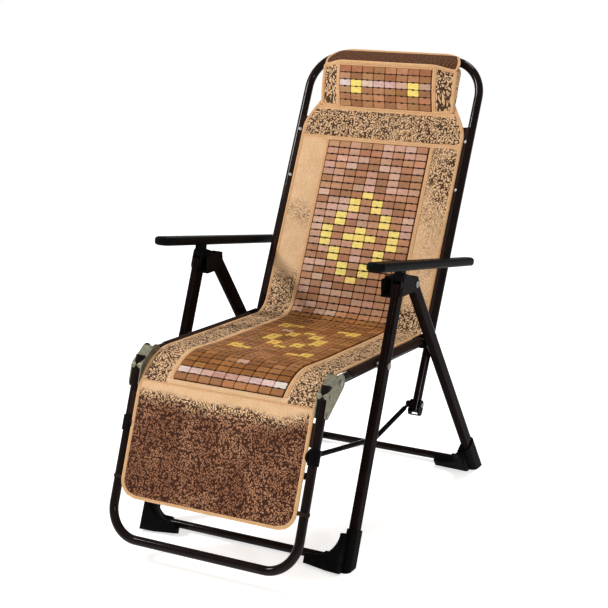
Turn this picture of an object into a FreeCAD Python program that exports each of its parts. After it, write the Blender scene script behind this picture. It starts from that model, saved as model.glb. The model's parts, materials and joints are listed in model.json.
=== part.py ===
"""Folding steel-tube recliner with a tiled bamboo mat. Millimetres, +Z up, the sitter faces -Y."""
import FreeCAD, Part
import math
import os

Vector = FreeCAD.Vector

# Stance: where the leg axes meet the floor, how far they lean, and the planes that the tubes run in
front_foot_y = -334.7
front_lean = 22.1
rear_foot_y = 419.0
rear_lean = 35.4
leg_plane = 274.0
tube_plane = 246.0

# Round tubes of the back, seat and footrest, and the flat-sided leg tubes
tube_radius = 11.0
tube_wall = 1.2
leg_depth = 40.0
leg_width = 20.0
leg_wall = 1.5
rear_leg_width = 19.0

# Seat: knee pin and back hinge pin, as (y, z)
knee_y = -348.0
knee_z = 449.0
hinge_y = 164.0
hinge_z = 423.0

# Back: lean from upright, hinge to top bar, hinge to lower end, hinge to rod pin
back_lean = 25.6
back_length = 726.0
back_tail = 188.0
rod_pin_drop = 172.0
back_bend = 95.0
cap_plug = 12.0
cap_height = 3.0

# Footrest: lean from upright, offset in front of the knee pin, bracket below the pin, tube end above that
footrest_lean = 20.7
footrest_offset = 40.0
footrest_drop = 25.0
footrest_rise = 14.0
footrest_length = 409.5
footrest_bend = 76.0
footrest_bar_drop = 190.0
footrest_bar_radius = 8.0
footrest_bar_set_back = 10.0

# Cross tubes of the legs
crossbar_radius = 10.0
crossbar_height = 16.0

# Pins and their running fit
pin_radius = 5.0
rod_pin_radius = 4.0
running_fit = 0.05
pin_head = 2.0
bolt_head = 4.0
pin_end_play = 0.2
side_gap = 0.5
open_pivot_gap = 0.4

# Arm bracket: pivots on the leg axes and the bent plate
arm_pivot_z = 630.0
leg_rivet_z = 604.0
rear_pivot_z = 603.0
front_leg_top = 616.0
bracket_sheet = 3.0
bracket_round = 14.0
bracket_inner_plane = 237.5
stirrup_base_z = 588.0
stirrup_front_y = -104.0
stirrup_rear_y = -34.0

# Armrest
arm_slope = 10.2
arm_front = 176.0
arm_rear = 400.0
arm_width = 46.0
arm_rear_width = 32.0
arm_thickness = 21.0
arm_offset = 22.0
arm_plane = 284.0
arm_round = 8.0
arm_lug_radius = 12.0
arm_lug_width = 18.0

# Moulded feet
foot_wall = 4.0
foot_socket = 85.0
foot_reach = 62.0
foot_sole = 18.0
gusset_reach = 34.0
gusset_rise = 40.0
gusset_thickness = 12.0

# Seat clevis and knee bracket sheet
clevis_length = 62.0
clevis_base = 13.0
clevis_height = 22.0
clevis_spigot = 30.0
clevis_sheet = 3.0
knee_sheet = 3.0
knee_round = 20.0
knee_tail = 52.0
knee_tail_round = 9.0
knee_rivet_radius = 3.0

# Link rods
rod_radius = 4.0
rod_wall = 1.0
rod_plane = 226.0
rod_eye_radius = 8.0
rod_eye_width = 8.0
rod_sag = 42.0
rod_sag_at = 0.38
rod_bend = 60.0
rod_clamp_radius = 14.0
rod_clamp_length = 36.0
shackle_sheet = 3.0
shackle_round = 13.0
shackle_gap = 5.0

# Sling, mat and tiles
sling_sheet = 1.6
sling_gap = 0.2
sling_level = 4.4
mat_tube_gap = 7.0
mat_thickness = 4.5
mat_corner = 36.0
mat_neck_half = 205.0
mat_neck_drop = 55.0
soft_gap = 0.3
tile_columns = 9
tile_pitch_x = 32.0
tile_pitch_u = 18.9
tile_length = 30.0
tile_width = 17.2
tile_thickness = 4.0
header_height = 90.0
back_tile_start = 52.0
crease_reach = 50.0
crease_bend = 60.0
knee_mat_reach = 58.0
knee_mat_drop = 72.0
knee_mat_bend = 120.0
seat_tile_margin = 30.0
footrest_mat_low = -312.0
sling_top_gap = 29.0
knee_sling_gap = 62.0
footrest_sling_low = -128.0

# Head pillow and the pocket over the top bar
pillow_half = 186.0
pillow_top_gap = 23.0
pocket_lift = 4.0
pillow_height = 126.0
pillow_depth = 58.0
pillow_bulge = 0.66
pillow_tile_rows = 6
pillow_tile_columns = 8
pillow_tile_pitch_u = 18.6
pillow_tile_width = 16.9
pocket_half = 172.0
pocket_sheet = 2.0
pocket_drop = 70.0


def vector(x, point):
    return Vector(x, point[0], point[1])


def turn(degrees):
    return math.cos(math.radians(degrees)), math.sin(math.radians(degrees))


class Plane:
    """A side-view plane: u runs along it at an angle from +Y, n stands off it to the sitter's side."""

    def __init__(self, origin, angle):
        self.origin = origin
        self.angle = angle
        self.cos, self.sin = turn(angle)

    def at(self, u, n=0.0):
        y = self.origin[0] + u * self.cos - n * self.sin
        z = self.origin[1] + u * self.sin + n * self.cos
        return y, z

    def put(self, shape):
        """Moves a shape drawn as x, u, n to its place."""
        y, z = self.origin
        matrix = FreeCAD.Matrix(1, 0, 0, 0, 0, self.cos, -self.sin, y, 0, self.sin, self.cos, z, 0, 0, 0, 1)
        placed = shape.copy()
        placed.Placement = FreeCAD.Placement(matrix).multiply(shape.Placement)
        return placed

    def block(self, x_low, x_high, u_low, u_high, n_low, n_high):
        box = Part.makeBox(x_high - x_low, u_high - u_low, n_high - n_low, Vector(x_low, u_low, n_low))
        return self.put(box)


def distance(a, b):
    return math.hypot(b[0] - a[0], b[1] - a[1])


def mirrored(shape):
    return shape.mirror(Vector(0, 0, 0), Vector(1, 0, 0))


def pin(x_low, x_high, point, radius):
    """A round bar across the chair."""
    return Part.makeCylinder(radius, x_high - x_low, vector(x_low, point), Vector(1, 0, 0))


def bent_wire(points, bend):
    """Straight runs joined by tangent arcs of one radius."""
    edges = []
    start = points[0]
    for before, corner, after in zip(points, points[1:], points[2:]):
        back = (before - corner).normalize()
        ahead = (after - corner).normalize()
        half = back.getAngle(ahead) / 2
        reach = bend / math.tan(half)
        first = corner + back * reach
        last = corner + ahead * reach
        bisector = (back + ahead).normalize()
        middle = corner + bisector * (bend / math.sin(half) - bend)
        edges.append(Part.LineSegment(start, first).toShape())
        edges.append(Part.Arc(first, middle, last).toShape())
        start = last
    edges.append(Part.LineSegment(start, points[-1]).toShape())
    return Part.Wire(edges)


def sweep(path, start, direction, radius):
    ring = Part.Wire([Part.makeCircle(radius, start, direction)])
    return path.makePipeShell([ring], True, False)


def tube(points, radius, wall, bend=0.0):
    """A round tube along the points, hollow where it has a wall."""
    direction = points[1] - points[0]
    if len(points) == 2:
        outer = Part.makeCylinder(radius, direction.Length, points[0], direction)
        if wall:
            outer = outer.cut(Part.makeCylinder(radius - wall, direction.Length, points[0], direction))
        return outer
    path = bent_wire(points, bend)
    outer = sweep(path, points[0], direction, radius)
    if wall:
        outer = outer.cut(sweep(path, points[0], direction, radius - wall))
    return outer


def stadium(width, depth):
    """A flat-sided oval face in x and u, its round ends at the ends of the depth."""
    radius = width / 2
    flat = depth / 2 - radius
    corners = [Vector(radius, -flat, 0), Vector(radius, flat, 0), Vector(-radius, flat, 0),
        Vector(-radius, -flat, 0)]
    edges = [
        Part.LineSegment(corners[0], corners[1]).toShape(),
        Part.Arc(corners[1], Vector(0, depth / 2, 0), corners[2]).toShape(),
        Part.LineSegment(corners[2], corners[3]).toShape(),
        Part.Arc(corners[3], Vector(0, -depth / 2, 0), corners[0]).toShape(),
    ]
    return Part.Face(Part.Wire(edges))


def oval_bar(x, low, high, width, depth):
    """A flat-sided oval bar in the plane of its leg, from the low point to the high one."""
    run = distance(low, high)
    bar = stadium(width, depth).extrude(Vector(0, 0, run))
    rise = math.degrees(math.atan2(high[1] - low[1], high[0] - low[0]))
    bar.Placement = FreeCAD.Placement(vector(x, low), FreeCAD.Rotation(Vector(1, 0, 0), rise - 90))
    return bar


def hull_plate(x_low, x_high, circles):
    """A plate round two or three circles given as (point, radius), with straight tangent sides."""
    shape = None
    for (a, radius_a), (b, radius_b) in zip(circles, circles[1:] + circles[:1]):
        gap = distance(a, b)
        along = math.atan2(b[1] - a[1], b[0] - a[0])
        swing = math.acos((radius_a - radius_b) / gap)
        corners = []
        for point, radius, sign in ((a, radius_a, 1), (b, radius_b, 1), (b, radius_b, -1), (a, radius_a, -1)):
            heading = along + sign * swing
            corners.append(vector(x_low,
                (point[0] + radius * math.cos(heading), point[1] + radius * math.sin(heading))))
        web = Part.Face(Part.makePolygon(corners + corners[:1])).extrude(Vector(x_high - x_low, 0, 0))
        piece = web.fuse(pin(x_low, x_high, a, radius_a))
        shape = piece if shape is None else shape.fuse(piece)
    if len(circles) > 2:
        middle = [vector(x_low, point) for point, radius in circles]
        outline = Part.makePolygon(middle + middle[:1])
        shape = shape.fuse(Part.Face(outline).extrude(Vector(x_high - x_low, 0, 0)))
    return shape.removeSplitter()


# Side-view points that the pieces share
front_cos, front_sin = turn(90 - front_lean)
rear_cos, rear_sin = turn(90 + rear_lean)
knee = (knee_y, knee_z)
hinge = (hinge_y, hinge_z)
seat_angle = math.degrees(math.atan2(hinge_z - knee_z, hinge_y - knee_y))
seat_run = distance(knee, hinge)
seat = Plane(hinge, seat_angle)
back = Plane(hinge, 90 - back_lean)
footrest_angle = 90 - footrest_lean
footrest = Plane(Plane(knee, footrest_angle).at(-footrest_drop, footrest_offset), footrest_angle)
rod_pin = back.at(-rod_pin_drop)
rod_stud = (knee_y + rod_pin[0] - hinge_y, knee_z + rod_pin[1] - hinge_z)


knee_rivet_points = [footrest.at(-tube_radius), footrest.at(-knee_tail)]


def front_axis(z):
    return front_foot_y + z * front_cos / front_sin, z


def rear_axis(z):
    return rear_foot_y + z * rear_cos / rear_sin, z


def seat_pivot_point():
    """Where the front leg's axis crosses the seat rail's."""
    low, high = front_axis(0.0), front_axis(1.0)
    slope = math.tan(math.radians(seat_angle))
    z = (hinge_z + slope * (low[0] - hinge_y)) / (1 - slope * (high[0] - low[0]))
    return front_axis(z)


seat_pivot = seat_pivot_point()
arm_pivot = front_axis(arm_pivot_z)
rear_pivot = rear_axis(rear_pivot_z)
leg_inner = leg_plane - leg_width / 2
leg_outer = leg_plane + leg_width / 2
tube_inner = tube_plane - tube_radius
tube_outer = tube_plane + tube_radius
tube_bore = tube_radius - tube_wall
shackle_outer = tube_outer + side_gap + shackle_sheet
mat_width = 2 * (tube_inner - mat_tube_gap)
pillow_high = back_length - pillow_top_gap
pillow_low = pillow_high - pillow_height
back_mat_top = pillow_low
back_sling_top = pillow_low - sling_top_gap


def front_leg():
    leg = oval_bar(leg_plane, front_axis(foot_sole), front_axis(front_leg_top), leg_width, leg_depth)
    bore = oval_bar(leg_plane, front_axis(0.0), front_axis(front_leg_top), leg_width - 2 * leg_wall,
        leg_depth - 2 * leg_wall)
    leg = leg.cut(bore)
    for point in (seat_pivot, front_axis(leg_rivet_z)):
        leg = leg.cut(pin(leg_inner, leg_outer, point, pin_radius))
    return leg


def rear_leg():
    leg = oval_bar(leg_plane, rear_axis(foot_sole), rear_pivot, rear_leg_width, leg_depth)
    end = pin(leg_plane - rear_leg_width / 2, leg_plane + rear_leg_width / 2, rear_pivot, leg_depth / 2)
    bore = oval_bar(leg_plane, rear_axis(0.0), rear_pivot, rear_leg_width - 2 * leg_wall,
        leg_depth - 2 * leg_wall)
    leg = leg.fuse(end).removeSplitter().cut(bore)
    return leg.cut(pin(leg_inner, leg_outer, rear_pivot, pin_radius + running_fit))


def crossbar(axis):
    point = axis(crossbar_height)
    reach = leg_inner - foot_wall
    return tube([vector(-reach, point), vector(reach, point)], crossbar_radius, tube_wall)


def corner_foot(axis, width, angle):
    """A moulded corner: a socket for the leg, one for the cross tube, and a hollowed gusset between them."""
    outer_width = width + 2 * foot_wall
    socket = oval_bar(leg_plane, axis(-foot_socket / 2), axis(foot_socket), outer_width,
        leg_depth + 2 * foot_wall)
    bar_point = axis(crossbar_height)
    bar_end = leg_plane - foot_reach
    sleeve_radius = crossbar_radius + foot_wall
    sleeve = pin(bar_end, leg_plane, bar_point, sleeve_radius)
    inner = leg_plane - outer_width / 2
    side = -gusset_thickness / 2
    top = Vector(inner + foot_wall / 2, sleeve_radius + gusset_rise, side)
    root = Vector(inner + foot_wall / 2, 0, side)
    far = Vector(inner - gusset_reach, 0, side)
    far_top = Vector(inner - gusset_reach, sleeve_radius - foot_wall / 2, side)
    dip = Vector(inner - gusset_reach * 0.25, sleeve_radius + gusset_rise * 0.25, side)
    edges = [
        Part.LineSegment(top, root).toShape(),
        Part.LineSegment(root, far).toShape(),
        Part.LineSegment(far, far_top).toShape(),
        Part.Arc(far_top, dip, top).toShape(),
    ]
    gusset = Part.Face(Part.Wire(edges)).extrude(Vector(0, 0, gusset_thickness))
    gusset = Plane(bar_point, angle).put(gusset)
    depth = 4 * foot_socket
    floor_cut = Part.makeBox(depth, depth, depth,
        Vector(leg_plane - depth / 2, bar_point[0] - depth / 2, -depth))
    foot = socket.fuse([sleeve, gusset]).cut(floor_cut).removeSplitter()
    foot = foot.cut(oval_bar(leg_plane, axis(foot_sole), axis(2 * foot_socket), width, leg_depth))
    return foot.cut(pin(bar_end - foot_reach, leg_inner - foot_wall, bar_point, crossbar_radius))


def arm_bracket():
    """Two cheek plates over the leg tops, and a stirrup bent inwards under the armrest."""
    circles = [(point, bracket_round) for point in (arm_pivot, front_axis(leg_rivet_z), rear_pivot)]
    outer = hull_plate(leg_outer, leg_outer + bracket_sheet, circles)
    cheek = hull_plate(leg_inner - bracket_sheet, leg_inner, circles)
    depth = stirrup_rear_y - stirrup_front_y
    web_width = leg_inner - bracket_inner_plane
    web = Part.makeBox(web_width, depth, bracket_sheet,
        Vector(bracket_inner_plane, stirrup_front_y, stirrup_base_z))
    wall_height = arm_pivot_z - stirrup_base_z
    wall = Part.makeBox(bracket_sheet, depth, wall_height,
        Vector(bracket_inner_plane, stirrup_front_y, stirrup_base_z))
    shape = outer.fuse([cheek, web, wall]).removeSplitter()
    shape = shape.cut(pin(bracket_inner_plane, leg_outer + 2 * bracket_sheet, arm_pivot, pin_radius))
    shape = shape.cut(pin(leg_inner - 2 * bracket_sheet, leg_outer + 2 * bracket_sheet, rear_pivot,
        pin_radius))
    rivet = front_axis(leg_rivet_z)
    return shape.cut(pin(leg_inner - 2 * bracket_sheet, leg_outer + 2 * bracket_sheet, rivet, pin_radius))


def headed_pin(x_low, x_high, point, radius, head):
    """A pin with a low head on its outer end."""
    return pin(x_low, x_high, point,
        radius).fuse(pin(x_high, x_high + head, point, radius * 1.7)).removeSplitter()


def armrest():
    """A tapering moulded arm with rounded edges, and the lug that hangs from it to its pivot."""
    arm = Plane(arm_pivot, -arm_slope)
    front_radius = arm_width / 2
    rear_radius = arm_rear_width / 2
    front = -arm_front + front_radius
    rear = arm_rear - rear_radius
    edges = [
        Part.LineSegment(Vector(front_radius, front, 0), Vector(rear_radius, rear, 0)).toShape(),
        Part.Arc(Vector(rear_radius, rear, 0), Vector(0, arm_rear, 0),
            Vector(-rear_radius, rear, 0)).toShape(),
        Part.LineSegment(Vector(-rear_radius, rear, 0), Vector(-front_radius, front, 0)).toShape(),
        Part.Arc(Vector(-front_radius, front, 0), Vector(0, -arm_front, 0),
            Vector(front_radius, front, 0)).toShape(),
    ]
    pad = Part.Face(Part.Wire(edges)).extrude(Vector(0, 0, arm_thickness))
    pad = pad.makeFillet(arm_round, [edge for edge in pad.Edges if abs(edge.BoundBox.ZLength) < 0.001])
    pad.translate(Vector(arm_plane, 0, arm_offset))
    lug_low = leg_plane - arm_lug_width / 2
    lug = Part.makeBox(arm_lug_width, 2 * arm_lug_radius, arm_offset + arm_round,
        Vector(lug_low, -arm_lug_radius, 0))
    eye = Part.makeCylinder(arm_lug_radius, arm_lug_width, Vector(lug_low, 0, 0), Vector(1, 0, 0))
    shape = arm.put(pad.fuse([lug, eye]).removeSplitter())
    return shape.cut(pin(lug_low, lug_low + arm_lug_width, arm_pivot, pin_radius + running_fit))


def seat_rail():
    front = seat.at(-seat_run - tube_radius)
    rear = seat.at(-clevis_length - clevis_base)
    rail = tube([vector(tube_plane, front), vector(tube_plane, rear)], tube_radius, tube_wall)
    for point in (knee, seat_pivot):
        rail = rail.cut(pin(tube_inner, tube_outer, point, pin_radius + running_fit))
    return rail


def seat_clevis():
    """The fork at the rail's rear end: two cheeks beside the back tube, and a spigot in the rail."""
    x_low = tube_inner - side_gap - clevis_sheet
    x_high = tube_outer + side_gap + clevis_sheet
    half = clevis_height / 2
    base = seat.block(x_low, x_high, -clevis_length - clevis_base, -clevis_length, -half, half)
    spigot = Part.makeCylinder(tube_bore, clevis_spigot,
        Vector(tube_plane, -clevis_length - clevis_base - clevis_spigot, 0), Vector(0, 1, 0))
    parts = [seat.put(spigot)]
    for low in (x_low, x_high - clevis_sheet):
        parts.append(seat.block(low, low + clevis_sheet, -clevis_length, 0, -half, half))
        parts.append(pin(low, low + clevis_sheet, hinge, half))
    fork = base.fuse(parts).removeSplitter()
    return fork.cut(pin(x_low, x_high, hinge, pin_radius + running_fit))


def back_frame():
    points = [
        vector(tube_plane, back.at(-back_tail)), vector(tube_plane, back.at(back_length)),
        vector(-tube_plane, back.at(back_length)), vector(-tube_plane, back.at(-back_tail)),
    ]
    frame = tube(points, tube_radius, tube_wall, back_bend)
    across = pin(-tube_outer, tube_outer, hinge, pin_radius + running_fit)
    lower = pin(-tube_outer, tube_outer, rod_pin, rod_pin_radius + running_fit)
    return frame.cut(across).cut(lower)


def back_end_cap():
    plug = Part.makeCylinder(tube_bore, cap_plug, Vector(tube_plane, -back_tail, 0), Vector(0, 1, 0))
    disc = Part.makeCylinder(tube_radius, cap_height,
        Vector(tube_plane, -back_tail - cap_height, 0), Vector(0, 1, 0))
    return back.put(plug.fuse(disc))


def footrest_frame():
    points = [
        vector(tube_plane, footrest.at(footrest_rise)), vector(tube_plane, footrest.at(-footrest_length)),
        vector(-tube_plane, footrest.at(-footrest_length)), vector(-tube_plane, footrest.at(footrest_rise)),
    ]
    frame = tube(points, tube_radius, tube_wall, footrest_bend)
    for point in knee_rivet_points:
        frame = frame.cut(pin(-tube_outer, tube_outer, point, knee_rivet_radius))
    return frame


def footrest_crossbar():
    point = footrest.at(-footrest_bar_drop, -footrest_bar_set_back)
    bar = tube([vector(-tube_plane, point), vector(tube_plane, point)], footrest_bar_radius, tube_wall)
    for side in (-1, 1):
        run = [vector(side * tube_plane, footrest.at(0)),
            vector(side * tube_plane, footrest.at(-footrest_length))]
        bar = bar.cut(tube(run, tube_radius, 0))
    return bar


def knee_bracket():
    """A bent sheet channel: cheeks from the footrest tube to the knee pin, and a web over the joint."""
    inner_low = tube_inner - side_gap - knee_sheet
    outer_high = tube_outer + side_gap + knee_sheet
    circles = [(knee, knee_round), (footrest.at(-tube_radius), tube_radius),
        (footrest.at(-knee_tail), knee_tail_round)]
    parts = [
        hull_plate(inner_low, inner_low + knee_sheet, circles),
        hull_plate(outer_high - knee_sheet, outer_high, circles),
    ]
    whole = hull_plate(inner_low, outer_high, circles[:2])
    inside = [(knee, knee_round - knee_sheet), (footrest.at(-tube_radius), tube_radius - knee_sheet)]
    web = whole.cut(hull_plate(inner_low, outer_high, inside))
    tube_end = footrest.at(-tube_radius)
    toward = Plane(knee, math.degrees(math.atan2(tube_end[1] - knee_z, tube_end[0] - knee_y)))
    reach = distance(knee, tube_end) + tube_radius
    web = web.common(toward.block(inner_low, outer_high, 0, reach, -2 * knee_round, 0))
    shape = parts[0].fuse([parts[1], web]).removeSplitter()
    run = [vector(tube_plane, footrest.at(footrest_rise)), vector(tube_plane, footrest.at(-footrest_length))]
    shape = shape.cut(tube(run, tube_radius, 0))
    for point in knee_rivet_points:
        shape = shape.cut(pin(inner_low, outer_high, point, knee_rivet_radius))
    return shape.cut(pin(inner_low, outer_high, knee, pin_radius + running_fit))


def floating_pin(point, x_low, x_high, radius):
    """A hinge pin that turns freely in both of the pieces it joins, with a low head at each end."""
    inner_head = pin(x_low - pin_head, x_low, point, radius * 1.5)
    outer_head = pin(x_high, x_high + pin_head, point, radius * 1.5)
    return pin(x_low, x_high, point, radius).fuse([inner_head, outer_head]).removeSplitter()


def rod_hinge_pin():
    return floating_pin(rod_pin, rod_plane - rod_eye_width / 2 - side_gap, shackle_outer + side_gap,
        rod_pin_radius)


def rod_shackle():
    """A bent strap round the back tube's lower end, on the pin that the link rod hangs from."""
    inner_low = tube_inner - side_gap - shackle_sheet
    drop = back_tail + cap_height + shackle_gap - rod_pin_drop
    hang = Plane(rod_pin, back.angle)
    circles = [(rod_pin, shackle_round), (hang.at(-drop - shackle_sheet + shackle_round), shackle_round)]
    strap = hull_plate(inner_low, shackle_outer, circles)
    room = shackle_round * 2 + drop
    hollow = hang.block(tube_inner - side_gap, tube_outer + side_gap, -drop, room, -room, room)
    strap = strap.cut(hollow)
    return strap.cut(pin(inner_low, shackle_outer, rod_pin, rod_pin_radius))


def link_rod():
    """A bent rod with a flat eye at each end."""
    run = (rod_stud[0] - rod_pin[0], rod_stud[1] - rod_pin[1])
    low = (rod_pin[0] + run[0] * rod_sag_at, rod_pin[1] + run[1] * rod_sag_at - rod_sag)
    rod = tube([vector(rod_plane, rod_pin), vector(rod_plane, low), vector(rod_plane, rod_stud)],
        rod_radius, rod_wall, rod_bend)
    x_low = rod_plane - rod_eye_width / 2
    x_high = rod_plane + rod_eye_width / 2
    for point in (rod_pin, rod_stud):
        rod = rod.fuse(pin(x_low, x_high, point, rod_eye_radius))
    rod = rod.cut(pin(x_low, x_high, rod_pin, rod_pin_radius + running_fit))
    return rod.cut(pin(x_low, x_high, rod_stud, rod_pin_radius + open_pivot_gap))


def rod_bracket():
    """A clamp on the footrest tube with a lug and stud for the link rod."""
    drop = footrest.origin
    reach = (rod_stud[0] - drop[0]) * footrest.cos + (rod_stud[1] - drop[1]) * footrest.sin
    low = reach - rod_clamp_length / 2
    clamp = Part.makeCylinder(rod_clamp_radius, rod_clamp_length, Vector(tube_plane, low, 0), Vector(0, 1, 0))
    bore = Part.makeCylinder(tube_radius, rod_clamp_length, Vector(tube_plane, low, 0), Vector(0, 1, 0))
    lug_low = rod_plane + rod_eye_width / 2 + side_gap
    lug = hull_plate(lug_low, tube_inner,
        [(footrest.at(reach), rod_clamp_radius), (rod_stud, rod_eye_radius)])
    stud_end = rod_plane - rod_eye_width / 2 - side_gap
    stud = pin(stud_end, tube_inner, rod_stud, rod_pin_radius)
    head = pin(stud_end - pin_head, stud_end, rod_stud, rod_pin_radius * 1.5)
    return footrest.put(clamp).fuse([lug, stud, head]).removeSplitter().cut(footrest.put(bore))


def sling(plane, u_low, u_high):
    """Cloth stretched between two tubes and lapped over the sitter's side of each."""
    inner = tube_radius + sling_gap
    outer = inner + sling_sheet
    run = u_high - u_low
    shape = Part.makeBox(2 * tube_plane, run, sling_sheet, Vector(-tube_plane, u_low, sling_level))
    bores = []
    for side in (-1, 1):
        start = Vector(side * tube_plane, u_low, 0)
        shape = shape.fuse(Part.makeCylinder(outer, run, start, Vector(0, 1, 0)))
        bores.append(Part.makeCylinder(inner, run, start, Vector(0, 1, 0)))
    below = Part.makeBox(2 * (tube_plane + outer), run, outer, Vector(-tube_plane - outer, u_low, -outer))
    return plane.put(shape.removeSplitter().cut(Part.makeCompound(bores)).cut(below))


mat_base = sling_level + sling_sheet + soft_gap
mat_face = mat_base + mat_thickness


def mat_panel(plane, u_low, u_high, rounded):
    """A flat length of mat, with the corners at one end rounded."""
    half = mat_width / 2
    box = Part.makeBox(mat_width, u_high - u_low, mat_thickness, Vector(-half, u_low, mat_base))
    upright = [edge for edge in box.Edges if edge.BoundBox.ZLength > mat_thickness / 2]
    box = box.makeFillet(mat_corner, [edge for edge in upright if abs(edge.BoundBox.YMin - rounded) < 0.001])
    return plane.put(box)


def meeting(first, second, n):
    """Where the two planes cross, both taken at the same height off their axes."""
    a = first.at(0, n)
    b = second.at(0, n)
    cross = first.cos * second.sin - first.sin * second.cos
    run = ((b[0] - a[0]) * second.sin - (b[1] - a[1]) * second.cos) / cross
    return a[0] + run * first.cos, a[1] + run * first.sin


def back_mat():
    """The back's length of mat: full width up to the header, drawn in to the neck under the head roll."""
    half = mat_width / 2
    low = crease_reach + soft_gap
    high = back_mat_top - soft_gap
    shoulder = high - mat_neck_drop
    right = [(half, low), (half, shoulder), (mat_neck_half, high)]
    left = [(-x, u) for x, u in reversed(right)]
    outline = [Vector(x, u, mat_base) for x, u in right + left]
    return back.put(Part.Face(Part.makePolygon(outline + outline[:1])).extrude(Vector(0, 0, mat_thickness)))


def mat_halves(first, u_first, second, u_second, bend):
    """The mat where it bends from one plane to another, cut in two across the middle of the bend."""
    corner = vector(0, meeting(first, second, mat_base))
    ends = [vector(0, first.at(u_first, mat_base)), vector(0, second.at(u_second, mat_base))]
    rays = [(end - corner).normalize() for end in ends]
    half = rays[0].getAngle(rays[1]) / 2
    room = min((end - corner).Length for end in ends)
    bend = min(bend, room * math.tan(half))
    bisector = (rays[0] + rays[1]).normalize()
    centre = corner + bisector * (bend / math.sin(half))
    middle = centre - bisector * bend
    halves = []
    for plane, end, ray in ((first, ends[0], rays[0]), (second, ends[1], rays[1])):
        tangent = corner + ray * (bend / math.tan(half))
        lift = Vector(0, -plane.sin, plane.cos) * mat_thickness
        side = 1 if lift.dot(tangent - centre) > 0 else -1
        grow = 1 + side * mat_thickness / bend
        quarter = centre + ((tangent - centre) + (middle - centre)).normalize() * bend
        inner = [tangent, quarter, middle]
        outer = [centre + (point - centre) * grow for point in inner]
        edges = [
            Part.LineSegment(end, tangent).toShape(),
            Part.Arc(*inner).toShape(),
            Part.LineSegment(middle, outer[2]).toShape(),
            Part.Arc(outer[2], outer[1], outer[0]).toShape(),
            Part.LineSegment(outer[0], end + lift).toShape(),
            Part.LineSegment(end + lift, end).toShape(),
        ]
        strip = Part.Face(Part.Wire(edges)).extrude(Vector(mat_width, 0, 0))
        strip.translate(Vector(-mat_width / 2, 0, 0))
        halves.append(strip)
    return halves


def tile_field(plane, columns, rows, start, pitch, width, base):
    """Rows of small bamboo tiles, each its own solid."""
    tiles = []
    for row in range(rows):
        for column in range(columns):
            x = (column - (columns - 1) / 2) * tile_pitch_x - tile_length / 2
            tiles.append(plane.block(x, x + tile_length, start + row * pitch,
                start + row * pitch + width, base, base + tile_thickness))
    return Part.makeCompound(tiles)


def pillow_section(x, scale):
    """One crowned slice of the head roll: flat back, bulging front that leans out to the top."""
    low = pillow_low + (1 - scale) * pillow_depth
    high = pillow_high - (1 - scale) * pillow_depth
    base = mat_base
    lip = base + pillow_depth * scale
    foot = Vector(x, low, base)
    head = Vector(x, high, base)
    crest = Vector(x, high - pillow_depth / 4, lip)
    bulge = Vector(x, (low + high) / 2, base + pillow_depth * scale * pillow_bulge)
    crown = Vector(x, high + pillow_depth / 16, base + pillow_depth * scale * 0.6)
    edges = [
        Part.LineSegment(foot, head).toShape(),
        Part.Arc(head, crown, crest).toShape(),
        Part.Arc(crest, bulge, foot).toShape(),
    ]
    return Part.Wire(edges)


def pillow():
    ends = [(pillow_half, 0.86), (0.97 * pillow_half, 0.96), (0.9 * pillow_half, 1.0)]
    slices = [(-x, scale) for x, scale in ends] + ends[::-1]
    return back.put(Part.makeLoft([pillow_section(x, scale) for x, scale in slices], True, True))


def pillow_tiles():
    """Rows of tiles round the pillow's bulging front."""
    foot = vector(0, back.at(pillow_low, mat_base))
    crest = vector(0, back.at(pillow_high - pillow_depth / 4, mat_base + pillow_depth))
    bulge = vector(0, back.at((pillow_low + pillow_high) / 2, mat_base + pillow_depth * pillow_bulge))
    curve = Part.Arc(foot, bulge, crest).toShape().Curve
    centre = curve.Center
    middle = (foot + crest) * 0.5 - centre
    rows = []
    for row in range(pillow_tile_rows):
        step = (row - (pillow_tile_rows - 1) / 2) * pillow_tile_pitch_u / curve.Radius
        heading = math.atan2(middle.z, middle.y) - step
        point = (centre.y + curve.Radius * math.cos(heading), centre.z + curve.Radius * math.sin(heading))
        face = Plane(point, math.degrees(heading) - 90)
        start = -pillow_tile_width / 2
        rows.append(tile_field(face, pillow_tile_columns, 1, start, 0.0, pillow_tile_width, soft_gap))
    return Part.makeCompound(rows)


def top_pocket():
    """The mat's pocket: a flap behind the top bar, a turn over it, and a sheet on to the pillow's crest."""
    inner = tube_radius + sling_gap
    outer = inner + pocket_sheet
    width = 2 * pocket_half
    start = Vector(-pocket_half, back_length, 0)
    roll = Part.makeCylinder(outer, width, start, Vector(1, 0, 0))
    roll = roll.cut(Part.makeCylinder(inner, width, start, Vector(1, 0, 0)))
    roll = roll.cut(Part.makeBox(width, outer, 2 * outer, Vector(-pocket_half, back_length - outer, -outer)))
    crest = (pillow_high - pillow_depth / 4 + pocket_lift - back_length,
        mat_base + pillow_depth + pocket_lift)
    reach = math.hypot(*crest)
    lean = math.atan2(crest[1], crest[0]) - math.acos(inner / reach)
    touch = (back_length + inner * math.cos(lean), inner * math.sin(lean))
    run = math.sqrt(reach * reach - inner * inner)
    front = Part.makeBox(width, outer, outer, Vector(-pocket_half, back_length, 0))
    front.rotate(start, Vector(1, 0, 0), math.degrees(lean))
    sheet = Part.makeBox(width, run, pocket_sheet, Vector(-pocket_half, 0, -pocket_sheet))
    sheet.rotate(Vector(0, 0, 0), Vector(1, 0, 0), math.degrees(lean) + 90)
    sheet.translate(Vector(0, *touch))
    flap = Part.makeBox(width, pocket_drop, pocket_sheet,
        Vector(-pocket_half, back_length - pocket_drop, -outer))
    return back.put(roll.cut(front).fuse([sheet, flap]).removeSplitter())


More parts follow.
